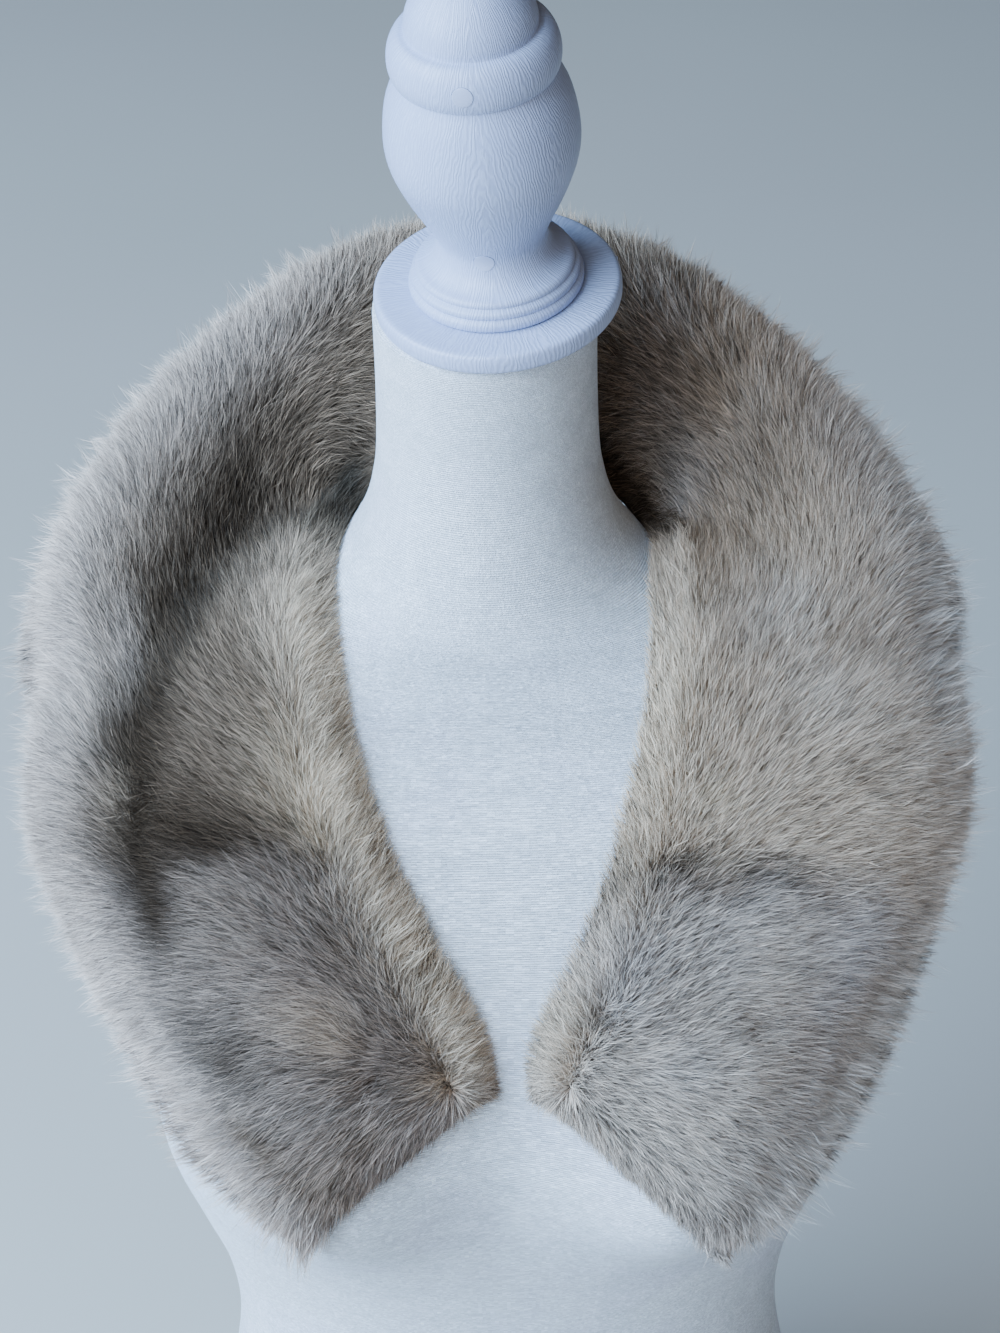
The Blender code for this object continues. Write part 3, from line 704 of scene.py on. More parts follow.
def plug_finish():
    f = Finish("moulded_plug")
    speck = f.noise(f.place(), 1200.0, 2.0)
    return f.surface(
        # A cool blue, partly the window's blue light painted into the white plastic.
        Base_Color=f.ramp(speck, (0.3, (0.39, 0.442, 0.625)), (0.7, (0.42, 0.477, 0.66))),
        Normal=f.bump(speck, 0.00005, 0.5),
        Roughness=0.4,
        Specular_IOR_Level=0.5,
    )


def leather_finish():
    """The flesh side of the pelts: pale suede with a soft nap."""
    f = Finish("suede")
    wide, fine = f.noise(f.place(), 22.0, 4.0, 0.6), f.noise(f.place(), 650.0, 3.0, 0.7)
    hide = f.ramp(wide, (0.3, (0.46, 0.39, 0.30)), (0.7, (0.60, 0.53, 0.43)))
    return f.surface(
        Base_Color=f.times(hide, f.ramp(fine, (0.3, 0.82), (0.7, 1.0))),
        Normal=f.bump(fine, 0.0002, 0.6, Normal=f.bump(wide, 0.002, 0.4)),
        Roughness=0.85,
        Sheen_Weight=0.25,
        Sheen_Roughness=0.5,
        Specular_IOR_Level=0.2,
    )


def hair_colour(f):
    return f.node("Attribute", "Color", {}, attribute_name="hair_colour")


def underfur_finish():
    """The dense down between the guard hairs."""
    f = Finish("underfur")
    wide, fine = f.noise(f.place(), 40.0, 4.0, 0.6), f.noise(f.place(), 1500.0, 2.0, 0.7)
    spots = f.times(f.ramp(wide, (0.3, 0.85), (0.7, 1.0)), f.ramp(fine, (0.3, 0.6), (0.7, 1.0)))
    return f.surface(
        Base_Color=f.times(hair_colour(f), spots),
        Normal=f.bump(fine, 0.0008, 1.0),
        Roughness=0.95,
        Specular_IOR_Level=0.05,
    )


def hair_finish():
    """Glossy hair, whose colour is its own from root to tip."""
    f = Finish("fur_hair")
    return f.surface(
        Base_Color=hair_colour(f),
        Roughness=0.4,
        Specular_IOR_Level=0.18,
        Specular_Tint=(1.0, 0.84, 0.68),
    )


def floor_finish():
    f = Finish("pale_floor")
    wide = f.noise(f.place(), 1.5, 2.0)
    return f.surface(
        Base_Color=f.ramp(wide, (0.3, (0.47, 0.45, 0.42)), (0.7, (0.50, 0.48, 0.45))),
        Roughness=0.8,
        Specular_IOR_Level=0.2,
    )


# ---------------------------------------------------------------- meshes
def mesh_from(name, points, faces, finish):
    mesh = bpy.data.meshes.new(name)
    mesh.from_pydata([tuple(p) for p in np.asarray(points) * MM], [], faces)
    mesh.validate()
    mesh.update()
    for polygon in mesh.polygons:
        polygon.use_smooth = True
    mesh.materials.append(finish)
    obj = bpy.data.objects.new(name, mesh)
    bpy.context.scene.collection.objects.link(obj)
    return obj


def torso_surface(t, turn):
    rows = through(TORSO, t)[:, None, :]
    z, half, front, back, yc, square = (rows[..., k] for k in range(6))
    c, s = np.cos(turn)[None, :], np.sin(turn)[None, :]
    x = half * np.sign(c) * np.abs(c) ** (2 / square)
    y = yc + np.where(s < 0, front, back) * np.sign(s) * np.abs(s) ** (2 / square)
    z = z + 0 * x
    tall = BUST["tall"] * np.where(z > BUST["z"], 1.2, 0.95)
    swell = np.exp(
        -(((np.abs(x) - BUST["x"]) / BUST["wide"]) ** 2)
        - ((z - BUST["z"]) / tall) ** 2
    )
    y = y - BUST["out"] * swell * np.clip(-s, 0, 1) ** 0.5
    slant = np.clip((z - NECK_SLANT_FROM) / (NECK_TOP - NECK_SLANT_FROM), 0, 1)
    front, side = math.radians(NECK_SLANT), math.radians(CAP_LEAN)
    z = z + slant * (math.tan(front) / math.cos(side) * y + math.tan(side) * x)
    return np.stack([x, y, z], -1)


def make_torso_cover(finish):
    """The knit cover, drawn tight over the whole form."""
    t = np.linspace(0, len(TORSO) - 1, TORSO_ROWS)
    turn = np.arange(TORSO_SIDES + 1) * 2 * math.pi / TORSO_SIDES - math.pi * 1.5
    grid = torso_surface(t, turn)
    girth = np.linalg.norm(np.diff(grid, axis=1), axis=2).sum(1).mean()
    down = np.concatenate(
        [[0], np.cumsum(np.linalg.norm(np.diff(grid, axis=0), axis=2).mean(1))]
    )
    rows, sides = TORSO_ROWS, TORSO_SIDES
    points = list(grid[:, :-1].reshape(-1, 3)) + [grid[0].mean(0), grid[-1].mean(0)]
    top, low, last = len(points) - 2, len(points) - 1, (rows - 1) * sides
    faces, maps = [], []
    for i in range(rows - 1):
        for j in range(sides):
            k = (j + 1) % sides
            faces.append((i * sides + j, (i + 1) * sides + j, (i + 1) * sides + k, i * sides + k))
            u0, u1 = girth * j / sides, girth * (j + 1) / sides
            maps += [(u0, down[i]), (u0, down[i + 1]), (u1, down[i + 1]), (u1, down[i])]
    for j in range(sides):
        k = (j + 1) % sides
        u0, u1 = girth * j / sides, girth * (j + 1) / sides
        faces.append((top, j, k))
        maps += [(u0, -40), (u0, 0), (u1, 0)]
        faces.append((low, last + k, last + j))
        maps += [(u0, down[-1] + 90), (u1, down[-1]), (u0, down[-1])]
    cover = mesh_from("torso_cover", points, faces, finish)
    layer = cover.data.uv_layers.new(name="knit")
    layer.uv.foreach_set("vector", np.array(maps, np.float32).ravel())
    cover.data.shade_smooth()
    for polygon in cover.data.polygons:
        if abs(polygon.normal.z) > 0.9 and polygon.center.z < 0.01:
            polygon.use_smooth = False
    return cover


# ------------------------------------------------------ cap, finial, plugs
def lean_matrix():
    return (
        Matrix.Translation(Vector(CAP_AT) * MM)
        @ Matrix.Rotation(math.radians(-CAP_LEAN), 4, "Y")
        @ Matrix.Rotation(math.radians(NECK_SLANT), 4, "X")
    )


def spun(name, profile, finish):
    """A profile drawn point by point and spun about the leaned axis."""
    lean = lean_matrix()
    pick()
    first = Vector((profile[0][0], 0, profile[0][1])) * MM
    bpy.ops.mesh.primitive_plane_add(size=0.001, location=lean @ first)
    obj = bpy.context.object
    obj.name = obj.data.name = name
    bpy.ops.object.transform_apply(location=True, rotation=True, scale=True)
    bpy.ops.object.mode_set(mode="EDIT")
    bpy.ops.mesh.select_all(action="SELECT")
    bpy.ops.mesh.merge(type="CENTER")
    bpy.ops.mesh.select_mode(type="VERT")
    bpy.ops.mesh.select_all(action="SELECT")
    before = first
    for radius, height in profile[1:]:
        here = Vector((radius, 0, height)) * MM
        step = lean.to_3x3() @ (here - before)
        bpy.ops.mesh.extrude_vertices_move(TRANSFORM_OT_translate={"value": step})
        before = here
    bpy.ops.mesh.select_all(action="SELECT")
    bpy.ops.mesh.spin(
        steps=LATHE_SIDES,
        angle=2 * math.pi,
        center=lean @ Vector((0, 0, 0)),
        axis=lean.to_3x3() @ Vector((0, 0, 1)),
        use_auto_merge=True,
    )
    bpy.ops.mesh.select_all(action="SELECT")
    bpy.ops.mesh.remove_doubles(threshold=0.00002)
    bpy.ops.mesh.normals_make_consistent(inside=False)
    bpy.ops.object.mode_set(mode="OBJECT")
    obj.data.materials.append(finish)
    return obj


def grain_mapped(obj, upright):
    """A map in millimetres round and along the leaned axis, or round and out."""
    mesh = obj.data
    back = lean_matrix().inverted()
    layer = mesh.uv_layers.new(name="grain")
    for polygon in mesh.polygons:
        middle = back @ polygon.center
        turn_middle = math.atan2(middle.x, -middle.y)
        for loop in polygon.loop_indices:
            p = back @ mesh.vertices[mesh.loops[loop].vertex_index].co / MM
            radius = math.hypot(p.x, p.y)
            turn = math.atan2(p.x, -p.y) if radius > 0.5 else turn_middle
            if turn - turn_middle > math.pi:
                turn -= 2 * math.pi
            elif turn_middle - turn > math.pi:
                turn += 2 * math.pi
            along = p.z if upright else p.z - radius
            layer.uv[loop].vector = (turn * GRAIN_RADIUS, along)


def bore_tool(name, radius, depth, centre):
    """A round tool across the axis, where the named plug sits."""
    height, _, turn = PLUGS[name]
    pick()
    bpy.ops.mesh.primitive_cylinder_add(vertices=48, radius=radius * MM, depth=depth * MM)
    tool = bpy.context.object
    tool.data.transform(
        lean_matrix()
        @ Matrix.Rotation(math.radians(turn), 4, "Z")
        @ Matrix.Translation(Vector((0, -centre, height)) * MM)
        @ Matrix.Rotation(math.radians(90), 4, "X")
    )
    return tool


def cut(obj, tool, operation):
    pick(obj)
    finished(obj, "BOOLEAN", operation=operation, solver="EXACT", object=tool)
    bpy.data.objects.remove(tool, do_unlink=True)


def make_plug(name, finish):
    """A round plug, whose face follows the turned shape a little proud of it."""
    radius = PLUGS[name][1]
    proud = [(r + PLUG_PROUD if r else r, h) for r, h in dense(FINIAL_PROFILE, 3)]
    plug = spun(name + "_disc", proud, finish)
    cut(plug, bore_tool(name, PLUG_RADIUS, 6.0, radius + 0.8), "INTERSECT")
    sharp = math.radians(50)
    finished(plug, "BEVEL", width=0.2 * MM, segments=3, limit_method="ANGLE", angle_limit=sharp)
    bpy.ops.object.shade_smooth_by_angle(angle=math.radians(35))
    plug.data.materials.clear()
    plug.data.materials.append(finish)
    return plug


def cut_bores(finial):
    """The two round bores that the plugs sit in."""
    for name, (_, radius, _) in PLUGS.items():
        tool = bore_tool(name, PLUG_RADIUS + BORE_ROOM, 8.6, radius + 1.7)
        cut(finial, tool, "DIFFERENCE")


def dense(profile, parts):
    """The profile with smooth points between its own, ends and flats kept."""
    inner = np.array(profile[1:-1], float)
    t = np.linspace(0, len(inner) - 1, (len(inner) - 1) * parts + 1)
    middle = through(inner, t)
    return [profile[0], *map(tuple, middle), profile[-1]]


def make_neck_cap(finish):
    """The disc, with the small nub that the mould left on its edge."""
    cap = spun("neck_cap_disc", dense(CAP_PROFILE, 3), finish)
    pick()
    bpy.ops.mesh.primitive_cube_add(size=1)
    nub = bpy.context.object
    nub.data.transform(
        lean_matrix()
        @ Matrix.Rotation(math.radians(NUB["turn"]), 4, "Z")
        @ Matrix.Translation(Vector(NUB["at"]) * MM)
        @ Matrix.Diagonal(Vector((*NUB["size"], 1 / MM)) * MM)
    )
    finished(nub, "BEVEL", width=0.3 * MM, segments=3)
    nub.data.materials.append(finish)
    pick(cap, nub)
    bpy.ops.object.join()
    bpy.ops.object.shade_smooth_by_angle(angle=math.radians(40))
    grain_mapped(cap, upright=False)
    return cap


def make_finial(finish):
    finial = spun("turned_finial", dense(FINIAL_PROFILE, 3), finish)
    cut_bores(finial)
    pick(finial)
    bpy.ops.object.shade_smooth_by_angle(angle=math.radians(38))
    grain_mapped(finial, upright=True)
    return finial


# --------------------------------------------------------------- the collar
def section(at):
    """Fine points of the fur's surface across the collar, from the neck edge."""
    t = np.interp(at, [row[0] for row in STATIONS], np.arange(len(STATIONS)))
    neck, valley, rim, edge, inner, outer = (
        through([row[k] for row in STATIONS], t) for k in range(1, 7)
    )
    rims = [row[3] for row in STATIONS]
    ahead = unit(through(rims, t + 0.05) - through(rims, t - 0.05))

    def above(a, b, rise):
        return (a + b) / 2 + unit(np.cross(ahead, b - a)) * rise

    points = [neck, above(neck, valley, inner), valley, above(valley, rim, outer), rim, edge]
    return through(points, np.linspace(0, len(points) - 1, SECTION_POINTS))


def across_shares():
    """Shares of the way from neck edge to rim, closer together at both."""
    t = np.linspace(0, 1, ACROSS)
    return t - 0.09 * np.sin(2 * math.pi * t)


def grid_normals(grid):
    along = np.gradient(grid, axis=0)
    across = np.gradient(grid, axis=1)
    return unit(np.cross(along, across))


def softened(field, rounds):
    """A grid's field evened out with its neighbours."""
    for _ in range(rounds):
        padded = np.pad(field, ((1, 1), (1, 1)) + ((0, 0),) * (field.ndim - 2), "edge")
        field = 0.5 * field + 0.125 * (
            padded[:-2, 1:-1] + padded[2:, 1:-1] + padded[1:-1, :-2] + padded[1:-1, 2:]
        )
    return field


def eased(grid, rounds):
    """A grid evened out, with its edges kept."""
    for _ in range(rounds):
        soft = softened(grid, 1)
        grid = grid.copy()
        grid[1:-1, 1:-1] = soft[1:-1, 1:-1]
    return grid


def form_tree():
    """The form's surface, for distances to it."""
    torso = frame["nodes"]["form_torso"].data
    return BVHTree.FromPolygons(
        [vertex.co for vertex in torso.vertices],
        [tuple(polygon.vertices) for polygon in torso.polygons],
    )


def distance_to(tree, point):
    """Signed distance of a point from the form, and the way out of it."""
    near, normal, _, _ = tree.find_nearest(Vector(point))
    away = np.asarray(point) - np.asarray(near)
    reach = float(np.linalg.norm(away))
    side = float(np.dot(away, np.asarray(normal)))
    if reach > 1e-6:
        out = away / reach * (1 if side >= 0 else -1)
    else:
        out = np.asarray(normal)
    return (reach if side >= 0 else -reach), out


def rounded(reach):
    """A quarter circle's height, from 0 at an edge to 1 at its full reach."""
    return np.sqrt(np.clip(1 - (1 - np.clip(reach, 0, 1)) ** 2, 0, 1))


def thickness_shares(grid):
    """1 where the pelt is full, falling round to 0 at its own free edges."""
    run = np.array([run_along(row) for row in grid])
    share = rounded(np.minimum(run, run[:, -1:] - run) / EDGE_ROUND)
    along = run_along(grid[:, grid.shape[1] // 2])
    tip = rounded(np.minimum(along, along[-1] - along) / END_ROUND)
    return share * tip[:, None]


def relief(places, shares):
    """How far the fur's surface rises and dips, uneven and dipped at the seams."""
    rise = np.zeros((len(places), len(shares)))
    at, across = places[:, None], shares[None, :]
    for middle_at, middle_across, along, wide, height in RELIEF:
        rise += height * spot(at, across, middle_at, middle_across, along, wide)
    rise += 0.8 * np.sin(at * 5.1 + 3.0 * across) * np.sin(across * 11.0 + at * 1.3)
    rise += 0.5 * np.sin(at * 9.7 - 5.0 * across + 1.0) * np.sin(across * 17.0 - at)
    for seam in [reach[1] for reach in PELTS.values()][:-1]:
        rise -= SEAM_DIP * np.exp(-(((at - seam) / SEAM_REACH) ** 2))
    return rise


def rested(tree, grid, thick, hug):
    """The grid moved so that its leather lies on the form where it is near.

    Where hug is 1, it is drawn down onto the form from any distance.
    """
    for turn in range(REST_ROUNDS):
        move = np.zeros_like(grid)
        for i, j in np.ndindex(grid.shape[:2]):
            reach, out = distance_to(tree, grid[i, j] * MM)
            gap = reach / MM - thick[i, j] - CLEAR
            if gap < 0:
                kept = 0.0
            elif turn >= LOOSE_ROUNDS:
                kept = gap
            elif gap < NEAR:
                kept = gap * gap / (2 * NEAR)
            else:
                kept = gap - NEAR / 2 * math.exp(-(gap - NEAR) / (2 * NEAR))
            move[i, j] = out * (kept * (1 - hug[i, j]) - gap)
        grid = grid + softened(move, 2)
    for i in range(grid.shape[0]):
        reach, out = distance_to(tree, grid[i, 0] * MM)
        pull = out * (SNUG - reach / MM) * hug[i, 0]
        grid[i, :4] += pull * np.linspace(1, 0, 5)[:4, None]
    return grid


def row_places():
    """The places of the grid's rows, even along each pelt and close at the tips."""
    places = []
    for first, last in PELTS.values():
        rim = [section(at)[SECTION_RIM] for at in np.linspace(first, last, 9)]
        steps = max(4, round(run_along(rim)[-1] / ALONG_STEP))
        places += list(np.linspace(first, last, steps + 1)[:-1])
    extra = [side * (12.0 - reach) for side in (-1, 1) for reach in (0.035, 0.11)]
    return np.sort([*places, 12.0, *extra])


def collar_surfaces():
    """Places along the collar, its fur surface, leather and outward ways."""
    tree = form_tree()
    places, shares = row_places(), across_shares()
    grid = []
    for at in places:
        curve = section(at)
        run = run_along(curve)
        grid.append(np.stack([np.interp(shares * run[-1], run, axis) for axis in curve.T], 1))
    grid = eased(np.array(grid), EASE_ROUNDS)
    swell = np.clip(np.sin(math.pi * shares), 0, 1)[None, :] ** 0.5
    grid = grid + grid_normals(grid) * (relief(places, shares) * swell)[..., None]
    share = thickness_shares(grid)
    hug = np.exp(-((places / HUG[0]) ** 6))[:, None] * np.clip(1 - shares / HUG[1], 0, 1)
    grid = eased(rested(tree, grid, PELT_THICK * share, hug), 2)
    normal = unit(softened(grid_normals(grid), 2))
    under = grid - normal * (PELT_THICK * share)[..., None]
    for _ in range(2):
        for i, j in np.ndindex(share.shape):
            for surface in (under, grid):
                reach, out = distance_to(tree, surface[i, j] * MM)
                if reach / MM < CLEAR:
                    surface[i, j] = surface[i, j] + out * (CLEAR - reach / MM)
    return places, shares, grid, under, normal, share


def pelt_rows(places, name):
    first, last = PELTS[name]
    return np.where((places >= first - 1e-6) & (places <= last + 1e-6))[0]


def snug_down(skin):
    """Lays the neck edge of the back pelt on the form, after its smoothing."""
    tree = form_tree()
    creases = skin.data.attributes["crease_edge"].data
    for edge, crease in zip(skin.data.edges, creases):
        for v in edge.vertices if crease.value > 0.5 else ():
            vertex = skin.data.vertices[v]
            reach, out = distance_to(tree, vertex.co)
            if reach < 2.0 * MM:
                vertex.co += Vector(out) * (SNUG * MM - reach)


def make_skin(name, collar, finishes):
    """One pelt without its guard hairs: leather below and dense down above."""
    places, shares, grid, under, normal, share = collar
    inside = pelt_rows(places, name)
    at, across = np.meshgrid(places, shares, indexing="ij")
    fold, crease_shade, _ = (field.reshape(share.shape) for field in folds(at.ravel(), across.ravel()))
    deep = np.minimum((PILE + SINK + fold) * share, (PELT_THICK - LEAST_LEATHER) * share)
    over = (grid - normal * deep[..., None])[inside]
    under = under[inside].copy()
    count, columns = over.shape[:2]
    sewn = []  # rows of the seams, where the other ends are free tips
    for row, step, place in ((0, 1, PELTS[name][0]), (count - 1, -1, PELTS[name][1])):
        if abs(place) != 12.0:
            sewn.append(row)
            away = unit(over[row + step] - over[row])
            over[row] += away * SEAM_HALF_GAP
            under[row] += away * SEAM_HALF_GAP
    points, index, faces, kinds = [], {}, [], []

    def corner(side, i, j):
        edge = j in (0, columns - 1) or (i in (0, count - 1) and i not in sewn)
        key = (0 if edge else side, i, j)
        if key not in index:
            index[key] = len(points)
            points.append((under if key[0] else over)[i, j])
        return index[key]

    for i in range(count - 1):
        for j in range(columns - 1):
            for side in (0, 1):
                quad = [corner(side, i + m, j + n) for m, n in ((0, 0), (1, 0), (1, 1), (0, 1))]
                faces.append(tuple(quad[::-1] if side else quad))
                kinds.append(side)
    for row in sewn:
        for j in range(columns - 1):
            loop = [corner(side, row, j + n) for side, n in ((0, 0), (0, 1), (1, 1), (1, 0))]
            loop = [v for k, v in enumerate(loop) if v not in loop[:k]]
            faces.append(tuple(loop[::-1] if row else loop))
            kinds.append(1)
    skin = mesh_from(name.replace("collar_", "skin_"), points, faces, finishes[0])
    skin.data.materials.append(finishes[1])
    spots = ([inside[0] + i for _, i, _ in index], [j for _, _, j in index])
    # The down under the hair takes the same colours, painted crease shade included.
    tone = np.ones((len(points), 4))
    tone[:, :3] = UNDERFUR * fur_colours(at[spots], across[spots], grid[spots], crease_shade[spots])
    own = skin.data.color_attributes.new("hair_colour", "FLOAT_COLOR", "POINT")
    own.data.foreach_set("color", tone.astype(np.float32).ravel())
    for polygon, kind in zip(skin.data.polygons, kinds):
        polygon.material_index = kind
    # The seams and the neck edge stay sharp, so that no light shows through.
    sharp = [{index[key] for key in index if key[1] == row} for row in sewn]
    sharp.append({index[key] for key in index if key[2] == 0})
    creases = skin.data.attributes.new("crease_edge", "FLOAT", "EDGE")
    for edge, crease in zip(skin.data.edges, creases.data):
        crease.value = float(any(set(edge.vertices) <= ends for ends in sharp))
    pick(skin)
    finished(skin, "SUBSURF", levels=1, render_levels=1)
    if name == "collar_back":
        snug_down(skin)
    return skin


def sampled(field, i, j):
    """A grid's smooth value at fractional rows and columns."""
    rows, columns = field.shape[:2]
    total = 0
    i0 = np.clip(np.floor(i).astype(int), 0, rows - 2)
    j0 = np.clip(np.floor(j).astype(int), 0, columns - 2)

    def weights(f):
        return (
            0.5 * (-f + 2 * f**2 - f**3),
            0.5 * (2 - 5 * f**2 + 3 * f**3),
            0.5 * (f + 4 * f**2 - 3 * f**3),
            0.5 * (-(f**2) + f**3),
        )

    wi, wj = weights(i - i0), weights(j - j0)
    shape = (-1,) + (1,) * (field.ndim - 2)
    for a, b in np.ndindex(4, 4):
        row, column = np.clip(i0 + a - 1, 0, rows - 1), np.clip(j0 + b - 1, 0, columns - 1)
        total = total + (wi[a] * wj[b]).reshape(shape) * field[row, column]
    return total


def nap_angles(at, across):
    """The nap's way as cosine and sine, between the rows of its table."""
    table = np.array(NAP, float)
    angles = np.radians(table[:, 1:])
    i = np.interp(at, table[:, 0], np.arange(len(table)))
    j = np.interp(across, NAP_COLUMNS, np.arange(len(NAP_COLUMNS)))
    i0 = np.clip(i.astype(int), 0, len(table) - 2)
    j0 = np.clip(j.astype(int), 0, len(NAP_COLUMNS) - 2)
    fi, fj = i - i0, j - j0
    fi, fj = fi * fi * (3 - 2 * fi), fj * fj * (3 - 2 * fj)
    out = []
    for field in (np.cos(angles), np.sin(angles)):
        low = field[i0, j0] * (1 - fj) + field[i0, j0 + 1] * fj
        high = field[i0 + 1, j0] * (1 - fj) + field[i0 + 1, j0 + 1] * fj
        out.append(low * (1 - fi) + high * fi)
    return out


def folds(at, across):
    """Depth, painted shade and ruffle of the creases and dents in the fur."""
    depth, crease_shade, ruffle = (np.zeros(len(at)) for _ in range(3))
    for name, path in FOLDS.items():
        path_at, path_across = np.transpose(path)
        wide, deep, shade = FOLD_FORM[name]
        off = (across - np.interp(at, path_at, path_across)) / wide
        ends = np.clip((at - path_at[0]) / 0.5, 0, 1) * np.clip((path_at[-1] - at) / 0.5, 0, 1)
        near = np.exp(-(off**2)) * ends
        depth, crease_shade = depth + deep * near, np.maximum(crease_shade, shade * near)
    for dent_at, dent_across, along, wide, deep, shade, strays in DENTS:
        near = spot(at, across, dent_at, dent_across, along, wide)
        depth, crease_shade = depth + deep * near, np.maximum(crease_shade, shade * near)
        ruffle = ruffle + strays * near
    return depth, crease_shade, ruffle


def fur_colours(at, across, place, crease_shade):
    """The colour of the fur's tips where each hair grows."""
    drift = uneven(place, "colour")
    colour = np.tile(np.array(FUR_TIP[SPANS[0][1]], float), (len(at), 1))

    def dyed(share, fur):
        return colour * (1 - share[:, None]) + np.array(FUR_TIP[fur]) * share[:, None]

    for start, fur in SPANS[1:]:
        colour = dyed(1 / (1 + np.exp(-(at + 0.4 * drift - start) / (SPAN_BLEND / 2))), fur)
    for dab_at, dab_across, along, wide, fur, strength in DABS:
        colour = dyed(spot(at + drift, across, dab_at, dab_across, along, wide) * strength, fur)
    # Painted shade: hair in the creases and dents is darkened towards deep brown.
    return dyed(crease_shade, "umber_painted_shade")


def hair_mesh(name, layers, finish):
    """All the hairs of a pelt as one mesh, from arrays of blades.

    A layer is its stations (centre and half width of each), its tips and its
    shades, one for each station and one for the tip.
    """
    points, corners, colours, base = [], [], [], 0
    for stations, tip, shades in layers:
        n, rings = len(tip), len(stations)
        each = rings * 2 + 1
        block = np.empty((n, each, 3))
        tone = np.ones((n, each, 4), np.float32)
        for k, (centre, half) in enumerate(stations):
            block[:, 2 * k], block[:, 2 * k + 1] = centre + half, centre - half
            tone[:, 2 * k, :3] = tone[:, 2 * k + 1, :3] = shades[k]
        block[:, -1] = tip
        tone[:, -1, :3] = shades[-1]
        pattern = []
        for k in range(rings - 1):
            a, b, c, d = 2 * k, 2 * k + 1, 2 * k + 3, 2 * k + 2
            pattern += [(a, b, c), (a, c, d)]
        pattern.append((2 * rings - 2, 2 * rings - 1, 2 * rings))
        start = base + np.arange(n)[:, None, None] * each
        corners.append((start + np.array(pattern)[None]).reshape(-1, 3))
        points.append(block.reshape(-1, 3))
        colours.append(tone.reshape(-1, 4))
        base += n * each
    points = np.concatenate(points).astype(np.float32) * np.float32(MM)
    corners = np.concatenate(corners).astype(np.int32)
    colours = np.concatenate(colours)
    mesh = bpy.data.meshes.new(name)
    mesh.vertices.add(len(points))
    mesh.vertices.foreach_set("co", points.ravel())
    mesh.loops.add(corners.size)
    mesh.loops.foreach_set("vertex_index", corners.ravel())
    mesh.polygons.add(len(corners))
    mesh.polygons.foreach_set("loop_start", np.arange(len(corners), dtype=np.int32) * 3)
    mesh.polygons.foreach_set("use_smooth", np.ones(len(corners), bool))
    mesh.update(calc_edges=True)
    own = mesh.color_attributes.new("hair_colour", "FLOAT_COLOR", "POINT")
    own.data.foreach_set("color", colours.ravel())
    mesh.materials.append(finish)
    obj = bpy.data.objects.new(name, mesh)
    bpy.context.scene.collection.objects.link(obj)
    return obj


class Ground:
    """Where hairs grow, and what the pelt is like there."""

    def __init__(self, collar, i, j):
        places, shares, grid, _, normal, share = collar
        self.place = sampled(grid, i, j)
        self.out = unit(sampled(normal, i, j))
        self.full = np.clip(sampled(share, i, j), 0, 1)
        across_way = sampled(unit(np.gradient(grid, axis=1)), i, j)
        lift = (across_way * self.out).sum(1, keepdims=True) * self.out
        self.outward = unit(across_way - lift)
        self.onward = unit(np.cross(self.outward, self.out))
        along_way = sampled(unit(np.gradient(grid, axis=0)), i, j)
        self.onward *= np.sign((self.onward * along_way).sum(1, keepdims=True))
        self.at = np.interp(i, np.arange(len(places)), places)
        self.across = np.interp(j, np.arange(len(shares)), shares)
        self.depth, _, self.ruffle = folds(self.at, self.across)
        c, s = nap_angles(self.at, self.across)
        self.turn = np.arctan2(s, c) + np.radians(uneven(self.place, "turn"))
        # Where the nap parts, the hair stands up and strays.
        self.parting = np.clip(PARTS_UNDER - np.hypot(c, s), 0, 1) ** 1.5
        # A hair lies over its neighbours, so its colour is that of where it ends.
        along_run, across_run = (
            sampled(np.linalg.norm(np.gradient(grid, marks, axis=axis), axis=2), i, j)
            for axis, marks in enumerate((places, shares))
        )
        end_at = self.at + np.cos(self.turn) * HANG / np.maximum(along_run, 15)
        end_across = self.across + np.sin(self.turn) * HANG / np.maximum(across_run, 80)
        end_across = np.clip(end_across, 0, 1)
        # Painted shade where a hair ends in a crease or dent.
        crease_shade = folds(end_at, end_across)[1]
        self.colour = fur_colours(end_at, end_across, self.place, crease_shade)
        self.root = self.place - self.out * (PILE * self.full + self.depth)[:, None]
        # The hair is pressed short in the nook behind the neck's +X side.
        nook = np.exp(-(((self.at - NOOK[0]) / NOOK[1]) ** 4))
        self.nook = nook * np.clip(1 - self.across / NOOK[2], 0, 1)

    def lie(self, turn):
        return self.onward * np.cos(turn)[:, None] + self.outward * np.sin(turn)[:, None]


def toned(colour):
    """A colour kept in range without a change of hue."""
    over = np.maximum(1, colour.max(1, keepdims=True) / LIGHTEST)
    return np.maximum(colour / over, DARKEST)


